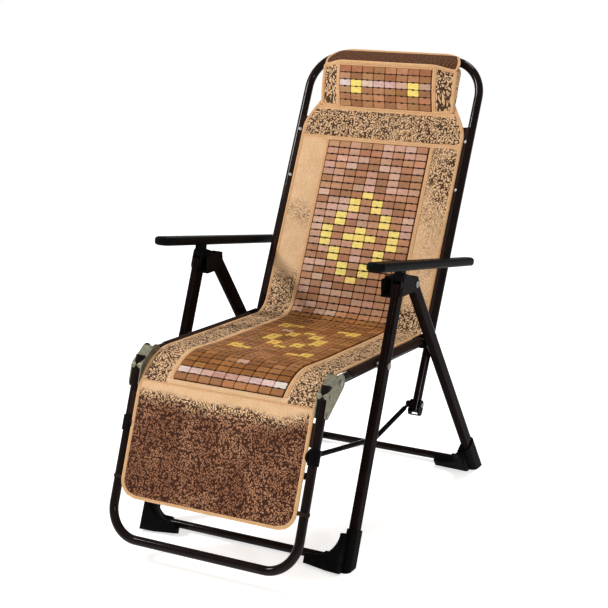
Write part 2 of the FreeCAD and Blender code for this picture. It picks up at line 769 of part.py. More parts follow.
def seat_sling():
    """The seat's cloth, notched round the pivot bolts."""
    shape = sling(seat, -seat_run + knee_sling_gap, -clevis_length - clevis_base - clevis_spigot / 2)
    notch = 2.8 * pin_radius
    for x in (tube_plane, -tube_plane - 2 * tube_radius):
        shape = shape.cut(pin(x, x + 2 * tube_radius, seat_pivot, notch))
    return shape


def footrest_sling():
    """The footrest's cloth, notched round the rod clamps and the cross tube."""
    shape = sling(footrest, footrest_sling_low, -knee_tail - 2 * knee_tail_round)
    drop = footrest.origin
    reach = (rod_stud[0] - drop[0]) * footrest.cos + (rod_stud[1] - drop[1]) * footrest.sin
    half = rod_clamp_length / 2 + soft_gap
    edge = rod_clamp_radius + soft_gap
    inner = tube_plane - rod_plane
    for side in (-1, 1):
        middle = side * tube_plane
        shape = shape.cut(footrest.block(middle - inner, middle + inner, reach - half, reach + half,
            -edge, edge))
    bar = footrest.at(-footrest_bar_drop, -footrest_bar_set_back)
    return shape.cut(pin(-leg_plane, leg_plane, bar, footrest_bar_radius + soft_gap))


nodes = {}


def pair(name, shape):
    nodes[name + "_left"] = shape
    nodes[name + "_right"] = mirrored(shape)


def group(name, shape):
    nodes[name] = Part.makeCompound([shape, mirrored(shape)])


pair("front_leg", front_leg())
nodes["front_crossbar"] = crossbar(front_axis)
pair("front_foot", corner_foot(front_axis, leg_width, 90 - front_lean))
pair("arm_bracket", arm_bracket())
bracket_outer = leg_outer + bracket_sheet
group("arm_pivot_pins", headed_pin(bracket_inner_plane, bracket_outer, arm_pivot, pin_radius, pin_head))
group("rear_leg_pins", headed_pin(leg_inner - bracket_sheet, bracket_outer, rear_pivot, pin_radius, pin_head))
group("leg_rivets",
    headed_pin(leg_inner - bracket_sheet, bracket_outer, front_axis(leg_rivet_z), pin_radius, pin_head))
group("seat_pivot_bolts", headed_pin(tube_inner + tube_wall, leg_outer, seat_pivot, pin_radius, bolt_head))
spacer = pin(tube_outer + side_gap, leg_inner, seat_pivot, 1.8 * pin_radius)
group("seat_pivot_spacers", spacer.cut(pin(tube_outer, leg_inner, seat_pivot, pin_radius)))

pair("rear_leg", rear_leg())
nodes["rear_crossbar"] = crossbar(rear_axis)
pair("rear_foot", corner_foot(rear_axis, rear_leg_width, 90 + rear_lean))

pair("armrest", armrest())

pair("seat_rail", seat_rail())
pair("seat_clevis", seat_clevis())
nodes["seat_sling"] = seat_sling()
half_mat = mat_width / 2
seat_mat_front = -seat_run + knee_mat_reach
nodes["seat_mat"] = seat.block(-half_mat, half_mat, seat_mat_front, -crease_reach, mat_base, mat_face)
seat_tile_rows = int((seat_run - knee_mat_reach - crease_reach - seat_tile_margin) / tile_pitch_u)
seat_tile_run = seat_tile_rows * tile_pitch_u
seat_tile_start = (seat_mat_front - crease_reach - seat_tile_run) / 2
nodes["seat_tiles"] = tile_field(seat, tile_columns, seat_tile_rows, seat_tile_start, tile_pitch_u,
    tile_width, mat_face)

fork_low = tube_inner - side_gap - clevis_sheet
fork_high = tube_outer + side_gap + clevis_sheet
group("back_hinge_pins", floating_pin(hinge, fork_low - pin_end_play, fork_high + pin_end_play, pin_radius))

nodes["back_frame"] = back_frame()
group("back_end_caps", back_end_cap())
nodes["back_sling"] = sling(back, crease_reach, back_sling_top)
nodes["back_mat"] = back_mat()
back_tile_rows = int((back_mat_top - header_height - back_tile_start) / tile_pitch_u)
nodes["back_tiles"] = tile_field(back, tile_columns, back_tile_rows, back_tile_start, tile_pitch_u,
    tile_width, mat_face)
nodes["pillow"] = pillow()
nodes["pillow_tiles"] = pillow_tiles()
nodes["top_pocket"] = top_pocket()

# The mat bends in two lengths at the crease and two at the knee, one for each side of the floating pins
crease_reaches = (-crease_reach + soft_gap, crease_reach)
crease_halves = mat_halves(seat, crease_reaches[0], back, crease_reaches[1], crease_bend)
nodes["seat_crease_mat"], nodes["back_crease_mat"] = crease_halves
knee_reaches = (seat_mat_front - soft_gap, -knee_mat_drop)
knee_halves = mat_halves(seat, knee_reaches[0], footrest, knee_reaches[1], knee_mat_bend)
nodes["seat_knee_mat"], nodes["footrest_knee_mat"] = knee_halves

fork_low = tube_inner - side_gap - knee_sheet
fork_high = tube_outer + side_gap + knee_sheet
group("knee_pins", floating_pin(knee, fork_low - pin_end_play, fork_high + pin_end_play, pin_radius))

rivets = [floating_pin(point, fork_low, fork_high, knee_rivet_radius) for point in knee_rivet_points]
group("knee_rivets", Part.makeCompound(rivets))
nodes["footrest_frame"] = footrest_frame()
nodes["footrest_crossbar"] = footrest_crossbar()
pair("knee_bracket", knee_bracket())
pair("rod_bracket", rod_bracket())
nodes["footrest_sling"] = footrest_sling()
nodes["footrest_mat"] = mat_panel(footrest, footrest_mat_low, -knee_mat_drop - soft_gap, footrest_mat_low)

group("rod_pins", rod_hinge_pin())
pair("rod_shackle", rod_shackle())
pair("link_rod", link_rod())

# The whole chair is set with its box centred over the origin, standing on the floor
boxes = [shape.optimalBoundingBox(False, False) for shape in nodes.values()]
shift = Vector(0, -(min(box.YMin for box in boxes) + max(box.YMax for box in boxes)) / 2, 0)

if __name__ == "__main__":
    os.makedirs("parts", exist_ok=True)
    for name, shape in nodes.items():
        placed = shape.copy()
        placed.translate(shift)
        placed.exportStep("parts/" + name + ".step")
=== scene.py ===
"""Folding reclining chair with a tiled bamboo mat: its looks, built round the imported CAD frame."""

import json
import math
import random

import bmesh
import bpy
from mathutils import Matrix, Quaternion, Vector, noise
from mathutils.bvhtree import BVHTree


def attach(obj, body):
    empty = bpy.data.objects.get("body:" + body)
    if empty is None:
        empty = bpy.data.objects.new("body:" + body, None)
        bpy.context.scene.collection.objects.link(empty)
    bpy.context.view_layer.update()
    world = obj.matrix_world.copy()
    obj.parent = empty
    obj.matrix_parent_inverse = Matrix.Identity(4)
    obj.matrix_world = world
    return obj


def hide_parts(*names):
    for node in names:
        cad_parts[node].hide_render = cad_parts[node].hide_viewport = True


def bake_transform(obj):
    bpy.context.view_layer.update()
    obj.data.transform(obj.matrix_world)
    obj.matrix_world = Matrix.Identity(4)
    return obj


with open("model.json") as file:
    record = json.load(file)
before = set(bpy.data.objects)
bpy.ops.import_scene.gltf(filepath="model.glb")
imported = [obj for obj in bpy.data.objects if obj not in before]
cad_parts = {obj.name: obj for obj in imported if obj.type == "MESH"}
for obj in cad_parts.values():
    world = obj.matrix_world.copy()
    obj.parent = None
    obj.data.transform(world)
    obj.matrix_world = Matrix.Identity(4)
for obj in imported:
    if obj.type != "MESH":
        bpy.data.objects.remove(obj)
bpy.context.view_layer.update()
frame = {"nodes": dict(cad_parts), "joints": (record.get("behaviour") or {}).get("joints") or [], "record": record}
nodes = frame["nodes"]
pivot = {joint["name"]: Vector(joint["pos_m"]) for joint in frame["joints"]}


# Planes of the chair, seen from its side

class Plane:
    """A flat side of the chair: along runs up the back or rearward, out faces the sitter."""

    def __init__(self, origin, degrees):
        angle = math.radians(degrees)
        self.origin = Vector((0, origin.y, origin.z))
        self.along = Vector((0, math.cos(angle), math.sin(angle)))
        self.out = Vector((0, -math.sin(angle), math.cos(angle)))

    def at(self, x, u, n):
        return self.origin + Vector((x, 0, 0)) + self.along * u + self.out * n

    def meet(self, other, level):
        """Where this plane's line at a level crosses the other's."""
        gap = other.at(0, 0, level) - self.at(0, 0, level)
        turn = self.along.y * other.along.z - self.along.z * other.along.y
        reach = (gap.y * other.along.z - gap.z * other.along.y) / turn
        return self.at(0, reach, level)


back = Plane(pivot["back_recline"], degrees=64.4)
seat = Plane(pivot["back_recline"], degrees=-2.9)
knee_axis = Vector((0, -0.364446, 0.44))
footrest = Plane(knee_axis, degrees=69.3)


# Sizes in metres: across, out from the tubes' plane, and up along the back, seat or footrest

tube_plane = 0.246
tube_radius = 0.011
sling_level = 0.0052
mat_under = 0.0065
mat_face = 0.0108
tile_level = 0.0128
mat_half = 0.228
neck_half = 0.176
neck_foot = 0.515
neck_run = 0.125
field_half = 0.1455
strip_half = 0.157
mat_top = 0.705
pillow_foot = 0.580
header_foot = 0.498
field_top = 0.486
crease_cut = 0.040
knee_start = -0.463
flap_end = -0.312
slack = 0.004
slack_half = 0.235
slack_run = 0.1
corner_round = 0.040
row_pitch = 0.0189
column_pitch = 0.032
tile_columns = 9
tile_length = 0.0302
tile_height = 0.0040
row_gap = 0.0026
knot_size = (0.0056, 0.0034, 0.0011)
knot_level = 0.0034


def smooth(t):
    t = min(1.0, max(0.0, t))
    return t * t * (3 - 2 * t)


def mix(a, b, t):
    return a + (b - a) * t


# The mat's line

class MatLine:
    """The line that the tiles lie on: down the back, round the crease, over the seat, down the footrest."""

    step = 0.001

    def __init__(self):
        crease = back.meet(seat, tile_level)
        knee = seat.meet(footrest, tile_level)
        knee_cut = (knee - seat.at(0, knee_start, tile_level)).length
        start = back.at(0, mat_top, tile_level)
        end = footrest.at(0, flap_end, tile_level)
        self.points = []
        self.run(start, self.short_of(crease, start, crease_cut))
        self.back_end = self.length()
        self.bend(crease, start, knee, crease_cut)
        self.seat_start = self.length()
        self.run(self.points[-1], self.short_of(knee, crease, knee_cut))
        self.knee_start = self.length()
        self.bend(knee, crease, end, knee_cut)
        self.knee_end = self.length()
        self.run(self.points[-1], end)
        self.end = self.length()
        self.crease = (self.back_end + self.seat_start) / 2
        self.knee = (self.knee_start + self.knee_end) / 2

    def length(self):
        return (len(self.points) - 1) * self.step

    def short_of(self, corner, before, cut):
        return corner + (before - corner).normalized() * cut

    def lay(self, reach, place):
        first = 1 if self.points else 0
        count = round(reach / self.step)
        for i in range(first, count + 1):
            self.points.append(place(i / count))

    def run(self, start, end):
        self.lay((end - start).length, lambda t: start.lerp(end, t))

    def bend(self, corner, before, after, cut):
        into = (before - corner).normalized()
        away = (after - corner).normalized()
        half = into.angle(away) / 2
        radius = cut * math.tan(half)
        centre = corner + (into + away).normalized() * (cut / math.cos(half))
        start = corner + into * cut - centre
        end = corner + away * cut - centre
        turn = math.copysign(math.pi - 2 * half, start.cross(end).x)
        self.lay(radius * abs(turn), lambda t: centre + Quaternion((1, 0, 0), turn * t) @ start)

    def at(self, x, s, level):
        """A point of the mat: across, down its line, and out from the tubes' plane."""
        place = min(max(s / self.step, 0.0), len(self.points) - 1.001)
        i = int(place)
        here = self.points[i].lerp(self.points[i + 1], place - i)
        return here + Vector((x, 0, 0)) + self.out(s) * (level - tile_level - self.dip(x, s))

    def dip(self, x, s):
        """How far the slack mat hangs in between the tubes of the back and of the seat."""
        ends = (mat_top - pillow_foot, self.crease, self.knee_start)
        if not ends[0] < s < ends[2]:
            return 0.0
        near = min(abs(s - end) for end in ends)
        return slack * smooth(near / slack_run) * max(0.0, 1 - (x / slack_half) ** 2)

    def ahead(self, s):
        i = min(max(round(s / self.step), 1), len(self.points) - 2)
        return (self.points[i + 1] - self.points[i - 1]).normalized()

    def out(self, s):
        ahead = self.ahead(s)
        return Vector((0, ahead.z, -ahead.y))


line = MatLine()
header_start = mat_top - pillow_foot
header_end = mat_top - header_foot
field_start = mat_top - field_top
field_end = line.knee_end - 0.053
seam = line.knee_end - 0.038
tile_rows = round((field_end - field_start) / row_pitch)
row_step = (field_end - field_start) / tile_rows


def half_width(s):
    """The mat's half width: narrow behind the head roll, full on the back, round at its lower corners."""
    wide = mix(mat_half, neck_half, smooth((mat_top - s - neck_foot) / neck_run))
    left = line.end - s
    if left < corner_round:
        drop = corner_round - max(left, 0.0)
        wide -= corner_round - math.sqrt(max(corner_round ** 2 - drop ** 2, 0.0))
    return wide


# Building meshes

class Build:
    """Collects the corners and faces of one piece."""

    def __init__(self):
        self.points = []
        self.cloth = []
        self.tints = []
        self.faces = []
        self.slots = []
        self.sharp = set()

    def corner(self, point, cloth=(0, 0, 1), tint=(1, 1, 1)):
        self.points.append(point)
        self.cloth.append(cloth)
        self.tints.append(tint)
        return len(self.points) - 1

    def face(self, corners, slot=0, crisp=False):
        self.faces.append(list(corners))
        self.slots.append(slot)
        if crisp:
            for a, b in zip(corners, list(corners[1:]) + [corners[0]]):
                self.sharp.add((min(a, b), max(a, b)))

    def strip(self, rows, slot=0, ring=False):
        """Faces between each row of corners and the next; a ring joins each row's end to its start."""
        for number, (a, b) in enumerate(zip(rows, rows[1:])):
            count = len(a)
            for i in range(count if ring else count - 1):
                j = (i + 1) % count
                kind = slot(number, i) if callable(slot) else slot
                self.face((a[i], a[j], b[j], b[i]), kind)

    def solid(self, rings, slot=0, crisp=True):
        """A closed body: rings of corners joined up, with a flat face at each end."""
        self.strip(rings, slot, ring=True)
        self.face(rings[0][::-1], slot, crisp)
        self.face(rings[-1], slot, crisp)

    def object(self, name, materials):
        mesh = bpy.data.meshes.new(name)
        mesh.from_pydata([tuple(p) for p in self.points], [], self.faces)
        mesh.attributes.new("cloth", "FLOAT_VECTOR", "POINT").data.foreach_set(
            "vector", [v for c in self.cloth for v in c])
        mesh.attributes.new("tint", "FLOAT_COLOR", "POINT").data.foreach_set(
            "color", [v for t in self.tints for v in (*t, 1.0)])
        for material in materials:
            mesh.materials.append(material)
        mesh.polygons.foreach_set("material_index", self.slots)
        mesh.polygons.foreach_set("use_smooth", [True] * len(self.faces))
        flags = [tuple(sorted(e.vertices)) in self.sharp for e in mesh.edges]
        mesh.attributes.new("sharp_edge", "BOOLEAN", "EDGE").data.foreach_set("value", flags)
        work = bmesh.new()
        work.from_mesh(mesh)
        bmesh.ops.recalc_face_normals(work, faces=work.faces)
        work.to_mesh(mesh)
        work.free()
        piece = bpy.data.objects.new(name, mesh)
        bpy.context.scene.collection.objects.link(piece)
        return piece

    def fit(self, name, materials, body):
        """The piece, carried by one body."""
        piece = self.object(name, materials)
        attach(piece, body)
        return piece


def ahead_of(path, i):
    """The way that a path runs at one of its points."""
    return path[min(i + 1, len(path) - 1)] - path[max(i - 1, 0)]


def tape(build, path, faces_out, across, thick, slot=0, ribs=10):
    """A flat oval ribbon swept along a path; faces_out are the ways its flat side looks."""
    rows = []
    along = 0.0
    for i, (point, hint) in enumerate(zip(path, faces_out)):
        ahead = ahead_of(path, i)
        side = ahead.cross(hint).normalized()
        out = side.cross(ahead).normalized()
        along += (point - path[i - 1]).length if i else 0.0
        row = []
        for k in range(ribs):
            turn = 2 * math.pi * k / ribs
            place = point + side * across * math.cos(turn) + out * thick * math.sin(turn)
            row.append(build.corner(place, (across * math.cos(turn), along, 1)))
        rows.append(row)
    build.solid(rows, slot)


def slab(build, tops, unders, slot=0):
    """A closed sheet from its upper and under rows of corners; its first and last edges shade crisply."""
    build.strip(tops, slot)
    build.strip(unders)
    for end in (0, -1):
        build.strip([[top[end], under[end]] for top, under in zip(tops, unders)])
    for end in (0, -1):
        build.strip([tops[end], unders[end]])
        for row in (tops[end], unders[end]):
            build.sharp.update((min(a, b), max(a, b)) for a, b in zip(row, row[1:]))


def tile(build, centre, side, ahead, out, length, width, tint):
    """One lacquered bamboo tile with rounded corners and edges."""
    chance = noise.random()
    ease = 0.0007
    radius = 0.0022
    outline = []
    for sx, sy, first in ((1, 1, 0), (-1, 1, 90), (-1, -1, 180), (1, -1, 270)):
        for turn in (0, 45, 90):
            angle = math.radians(first + turn)
            outline.append((sx * (length / 2 - radius) + radius * math.cos(angle),
                            sy * (width / 2 - radius) + radius * math.sin(angle)))
    rows = []
    for inset, level in ((ease, 0.0), (0.0, ease), (0.0, tile_height - ease), (ease, tile_height)):
        row = []
        for px, py in outline:
            px -= math.copysign(inset, px)
            py -= math.copysign(inset, py)
            place = centre + side * px + ahead * py + out * level
            row.append(build.corner(place, (px, py, chance), tint))
        rows.append(row)
    build.solid(rows)


def knot(build, centre, side, ahead, out):
    """A cord knot between two rows of tiles."""
    poles = [build.corner(centre + out * knot_size[2] * k) for k in (-1, 1)]
    rows = []
    for lift in (-0.6, 0.0, 0.6):
        spread = math.sqrt(1 - lift * lift)
        row = []
        for k in range(8):
            turn = math.pi * k / 4
            place = centre + side * knot_size[0] * spread * math.cos(turn)
            place += ahead * knot_size[1] * spread * math.sin(turn) + out * knot_size[2] * lift
            row.append(build.corner(place))
        rows.append(row)
    build.strip(rows, CORD, ring=True)
    for pole, row in zip(poles, (rows[0], rows[-1])):
        for i in range(8):
            build.face((pole, row[i], row[(i + 1) % 8]), CORD)


# Shader maths

class Wire:
    """A socket of a material: sums on it add Math nodes, and make adds any other node."""

    def __init__(self, tree, socket=None):
        self.tree = tree
        self.socket = socket

    def make(self, kind, settings, sockets, out=0):
        node = self.tree.nodes.new(kind)
        for name, value in settings.items():
            setattr(node, name, value)
        self.plug(node, sockets)
        return Wire(self.tree, node.outputs[out])

    def plug(self, node, sockets):
        """Links wires to a node's sockets, and sets plain values on the others."""
        for name, value in sockets.items():
            if isinstance(value, Wire):
                self.tree.links.new(value.socket, node.inputs[name])
            else:
                node.inputs[name].default_value = value

    def sum(self, operation, *values):
        return self.make("ShaderNodeMath", {"operation": operation}, dict(enumerate(values)))

    def __add__(self, other):
        return self.sum("ADD", self, other)

    def __radd__(self, other):
        return self.sum("ADD", other, self)

    def __sub__(self, other):
        return self.sum("SUBTRACT", self, other)

    def __rsub__(self, other):
        return self.sum("SUBTRACT", other, self)

    def __mul__(self, other):
        return self.sum("MULTIPLY", self, other)

    def __rmul__(self, other):
        return self.sum("MULTIPLY", other, self)

    def wave(self):
        return self.sum("SINE", self)

    def fraction(self):
        return self.sum("FRACT", self)

    def size(self):
        return self.sum("ABSOLUTE", self)

    def step(self, low, high, to_low=0.0, to_high=1.0):
        """A soft step from to_low to to_high as this runs from low to high."""
        sockets = {"Value": self, "From Min": low, "From Max": high, "To Min": to_low, "To Max": to_high}
        return self.make("ShaderNodeMapRange", {"interpolation_type": "SMOOTHSTEP"}, sockets)

    def paint(self, first, second):
        """A colour that goes from first to second as this runs from 0 to 1."""
        return self.make("ShaderNodeMix", {"data_type": "RGBA"}, {0: self, 6: first, 7: second}, 2)

    def noise(self, place, scale, detail=2.0, rough=0.5, flat=True):
        sockets = {"Vector": place, "Scale": scale, "Detail": detail, "Roughness": rough}
        return self.make("ShaderNodeTexNoise", {"noise_dimensions": "2D" if flat else "3D"}, sockets)

    def attribute(self, name, out="Vector"):
        return self.make("ShaderNodeAttribute", {"attribute_name": name}, {}, out)

    def part(self, vector, axis):
        return self.make("ShaderNodeSeparateXYZ", {}, {"Vector": vector}, axis)

    def bump(self, height, strength, depth):
        sockets = {"Height": height, "Strength": strength, "Distance": depth}
        return self.make("ShaderNodeBump", {}, sockets, "Normal")

    def stretch(self, place, factors):
        return self.make("ShaderNodeVectorMath", {"operation": "MULTIPLY"}, {0: place, 1: factors})

    def spot(self):
        return self.make("ShaderNodeTexCoord", {}, {}, "Object")

    def surface(self, colour, roughness, normal=None, **fixed):
        sockets = {"Base Color": colour, "Roughness": roughness}
        if normal is not None:
            sockets["Normal"] = normal
        for name, value in fixed.items():
            sockets[name.replace("_", " ").title().replace("Ior", "IOR")] = value
        self.plug(self.tree.nodes["Principled BSDF"], sockets)


def material(name):
    made = bpy.data.materials.new(name)
    made.use_nodes = True
    return made, Wire(made.node_tree)


def rgb(red, green, blue):
    """A colour from its screen values, 0 to 255."""
    shares = [value / 255 for value in (red, green, blue)]
    return tuple(v / 12.92 if v < 0.043 else ((v + 0.055) / 1.055) ** 2.4 for v in shares) + (1.0,)


# Finishes

def weave(wire, place, across, down):
    """Threads over and under each other, as a height from 0 to 1."""
    warp = (wire.part(place, "X") * (2 * math.pi / across)).wave()
    weft = (wire.part(place, "Y") * (2 * math.pi / down)).wave()
    return warp * weft * 0.5 + 0.5


def jacquard_finish():
    """Tan satin with dark curls, which fade where the cloth attribute says so; that attribute also carries painted
    light, so in places the curls fade as painted sheen, and on the footrest flap the ground darkens to brown as
    painted shade.
    """
    made, wire = material("mat_jacquard")
    place = wire.attribute("cloth")
    figure_and_painted_light = wire.part(place, "Z")
    drift = wire.noise(place, 11.0, 1.0)
    stroke = ((wire.noise(place, 114.0, 1.2, 0.45) * 3.1).fraction() - 0.5).size()
    specks = wire.noise(place, 360.0, 0.0)
    curls = 1 - (stroke + specks * 0.2 - 0.1 - figure_and_painted_light * 0.06).step(0.17, 0.26)
    patch = drift.step(0.36, 0.58, 0.6, 1.0)
    dark = curls * (figure_and_painted_light * patch * 1.4).step(0.0, 1.0)
    faint = 1 - (1 - specks.step(0.5, 0.66) * 0.16) * (1 - dark * 0.94)
    plain = wire.noise(place, 26.0, 3.0).paint(rgb(230, 193, 152), rgb(212, 170, 126))
    # painted shade: a browner ground where the curl strength runs past 0.9, which happens on the footrest flap
    # only
    brown = drift.step(0.4, 0.66).paint(rgb(142, 96, 69), rgb(170, 122, 90))
    ground = figure_and_painted_light.step(0.9, 1.6).paint(plain, brown)
    colour = faint.paint(ground, rgb(44, 17, 7))
    threads = weave(wire, place, 0.0013, 0.0013)
    height = threads * 0.5 + dark * 0.5
    wire.surface(colour, 0.66 - dark * 0.08, wire.bump(height, 0.35, 0.0005), specular_ior_level=0.08)
    return made


def tape_finish():
    """Beige ribbed binding with a row of stitches along its middle."""
    made, wire = material("beige_binding")
    place = wire.attribute("cloth")
    across = wire.part(place, "X")
    along = wire.part(place, "Y")
    ribs = (along * (2 * math.pi / 0.0011)).wave() * 0.5 + 0.5
    dashes = ((along * 240).fraction() - 0.5).size().step(0.3, 0.36, 1.0, 0.0)
    stitch = across.size().step(0.0006, 0.0010, 1.0, 0.0) * dashes
    tone = wire.noise(place, 45.0, 2.0).paint(rgb(222, 180, 134), rgb(198, 150, 104))
    colour = (stitch * 0.6).paint(tone, rgb(150, 104, 66))
    wire.surface(colour, 0.6, wire.bump(ribs * 0.5 - stitch, 0.35, 0.0005), specular_ior_level=0.12)
    return made


def bed_finish():
    """Dark net that the tiles are sewn on."""
    made, wire = material("tile_bed")
    place = wire.attribute("cloth")
    threads = weave(wire, place, 0.002, 0.002)
    wire.surface(threads.paint(rgb(28, 15, 9), rgb(48, 27, 16)), 0.9, wire.bump(threads, 0.5, 0.0006))
    return made


def tile_finish():
    """Lacquered bamboo: fine grain and dark pores along each tile, over its own tone."""
    made, wire = material("bamboo_tile")
    place = wire.attribute("cloth")
    tint = wire.attribute("tint", "Color")
    along = wire.stretch(place, (55.0, 620.0, 90.0))
    grain = wire.noise(along, 1.0, 4.0, 0.6, flat=False)
    pores = wire.noise(along, 3.5, 2.0, 0.6, flat=False).step(0.56, 0.70)
    streaked = grain.step(0.3, 0.7).paint((0.74, 0.70, 0.66, 1), (1.10, 1.08, 1.06, 1))
    sockets = {0: 1.0, 6: tint, 7: streaked}
    tone = wire.make("ShaderNodeMix", {"data_type": "RGBA", "blend_type": "MULTIPLY"}, sockets, 2)
    colour = (pores * 0.35).paint(tone, rgb(70, 38, 20))
    wire.surface(colour, grain * 0.2 + 0.34, wire.bump(grain - pores, 0.2, 0.0003), coat_weight=0.04,
                 coat_roughness=0.22, specular_ior_level=0.18)
    return made


def cord_finish():
    made, wire = material("knot_cord")
    place = wire.spot()
    speck = wire.noise(place, 1400.0, 1.0, flat=False)
    wire.surface(speck.paint(rgb(16, 9, 6), rgb(34, 20, 13)), 0.9, wire.bump(speck, 0.4, 0.0003))
    return made


def sling_finish():
    """Coarse brown woven cloth."""
    made, wire = material("sling_cloth")
    place = wire.attribute("cloth")
    threads = weave(wire, place, 0.0022, 0.0022)
    cloud = wire.noise(place, 14.0, 3.0)
    tone = (threads * 0.6 + cloud * 0.4).paint(rgb(24, 15, 12), rgb(50, 32, 25))
    wire.surface(tone, 0.82, wire.bump(threads, 0.6, 0.0006), specular_ior_level=0.1)
    return made


def pocket_finish():
    """Dark brown cloth with a mottled pile."""
    made, wire = material("pocket_cloth")
    place = wire.attribute("cloth")
    mottle = wire.noise(place, 240.0, 2.0, 0.6)
    threads = weave(wire, place, 0.0016, 0.0016)
    tone = mottle.step(0.35, 0.68).paint(rgb(46, 25, 14), rgb(112, 70, 40))
    wire.surface(tone, 0.9, wire.bump(threads + mottle, 0.4, 0.0006), specular_ior_level=0.2)
    return made


def enamel_finish(name, first, second, rough, shine):
    """Baked enamel with a faint orange peel and a little dust."""
    made, wire = material(name)
    place = wire.spot()
    peel = wire.noise(place, 380.0, 2.0, flat=False)
    dust = wire.noise(place, 22.0, 4.0, 0.6, flat=False)
    wire.surface(dust.step(0.35, 0.75).paint(first, second), dust * 0.06 + rough,
                 wire.bump(peel, 0.02, 0.0003), specular_ior_level=shine)
    return made


def steel_finish(name, light, dark, rough):
    """Plated steel with fine brushing and dull spots."""
    made, wire = material(name)
    place = wire.spot()
    brush = wire.noise(wire.stretch(place, (1.0, 0.12, 1.0)), 900.0, 2.0, flat=False)
    spots = wire.noise(place, 120.0, 3.0, 0.6, flat=False)
    wire.surface((brush * 0.5 + spots * 0.5).step(0.3, 0.7).paint(dark, light), spots * 0.25 + rough,
                 wire.bump(brush, 0.15, 0.0002), metallic=0.85)
    return made


def plastic_finish(name, tone, worn, rough):
    """Moulded plastic with a fine pebble grain."""
    made, wire = material(name)
    place = wire.spot()
    pebble = wire.noise(place, 1100.0, 1.5, flat=False)
    scuff = wire.noise(place, 35.0, 4.0, 0.65, flat=False)
    wire.surface(scuff.step(0.5, 0.8).paint(tone, worn), scuff * 0.2 + rough, wire.bump(pebble, 0.3, 0.0003),
                 specular_ior_level=0.015)
    return made


def floor_finish():
    made, wire = material("studio_floor")
    grain = wire.noise(wire.spot(), 3.0, 2.0, flat=False)
    tone = grain.paint((0.86, 0.86, 0.855, 1), (0.90, 0.90, 0.895, 1))
    wire.surface(tone, 0.8, emission_color=(1, 1, 1, 1), emission_strength=0.64, specular_ior_level=0.1)
    return made


jacquard = jacquard_finish()
binding = tape_finish()
bed = bed_finish()
bamboo = tile_finish()
cord = cord_finish()
sling_cloth = sling_finish()
pocket_cloth = pocket_finish()
screw_steel = steel_finish("screw_steel", rgb(205, 205, 205), rgb(150, 150, 150), rough=0.25)
leg_enamel = enamel_finish("leg_enamel", rgb(16, 10, 9), rgb(25, 16, 14), rough=0.08, shine=0.008)
finishes = {
    "frame_tube": enamel_finish("tube_enamel", rgb(18, 11, 10), rgb(28, 18, 16), rough=0.06, shine=0.10),
    "dark_steel": enamel_finish("black_enamel", rgb(14, 12, 12), rgb(24, 21, 20), rough=0.12, shine=0.010),
    "zinc_steel": steel_finish("zinc_plate", rgb(150, 147, 126), rgb(98, 95, 80), rough=0.46),
    "pin_steel": steel_finish("pin_steel", rgb(150, 148, 144), rgb(96, 94, 92), rough=0.28),
    "foot_plastic": plastic_finish("foot_plastic", rgb(12, 12, 12), rgb(22, 22, 22), rough=0.42),
    "arm_plastic": plastic_finish("arm_plastic", rgb(14, 13, 13), rgb(28, 27, 26), rough=0.30),
}


def dress_frame():
    """Gives the CAD pieces that stay in view their finishes."""
    for part in frame["record"]["subparts"]:
        finish = finishes.get(part["material_slot"])
        if part["node"] in ("leg_rivets", "arm_pivot_pins"):
            finish = finishes["dark_steel"]
        if part["node"].startswith(("front_leg", "rear_leg_left", "rear_leg_right")):
            finish = leg_enamel
        if finish:
            for place in nodes[part["node"]].material_slots:
                place.material = finish


# The mat

JACQUARD, BINDING, BED = 0, 1, 2
mat_finishes = [jacquard, binding, bed]
inner_columns = [0.0, 0.036, 0.072, 0.108, 0.138, field_half, strip_half]
border_shares = [0.1, 0.25, 0.45, 0.65, 0.82, 0.94, 1.0]


def columns(s):
    wide = half_width(s)
    right = inner_columns + [mix(strip_half, wide, share) for share in border_shares]
    return [-x for x in right[:0:-1]] + right


def figure_and_painted_light(x, s):
    """How strongly the dark curls show at a place on the mat, with painted light mixed in: the back's side borders
    fade as painted sheen, the knee band stays pale as a painted highlight, and the flap starts pale under its
    seam, then rises past full strength so that its ground darkens as painted shade.
    """
    if s < header_end + 0.006:
        return 1.0
    if s < line.crease:
        run = (s - header_end) / (line.crease - header_end)
        # painted sheen: the curls on both side borders of the back fade where light washes the satin out
        if x < 0:
            return mix(0.16, 0.95, smooth((run - 0.72) / 0.2)) + 0.3 * smooth(1 - abs(run - 0.45) / 0.12)
        return mix(0.86, 0.30, smooth((run - 0.12) / 0.4)) + 0.5 * smooth((run - 0.75) / 0.25)
    # the seat's borders keep full curls; round the knee the curls give way to a pale painted highlight
    if s < seam:
        return 0.95 if abs(x) > strip_half else 0.05
    # painted highlight, then painted shade: a pale band under the seam, then the strength climbs to 1.6
    ragged = noise.noise(Vector((x * 11, 5.0, 2.0))) - smooth((abs(x) - 0.15) / 0.07)
    start = seam + 0.016 + 0.012 * ragged
    return mix(0.06, 1.0, smooth((s - start) / 0.026)) + 0.6 * smooth((s - start - 0.006) / 0.055)


def puff(share, height, power):
    """The height of a padded patch at a share of the way across it."""
    return height * max(0.0, math.sin(math.pi * min(max(share, 0.0), 1.0))) ** power


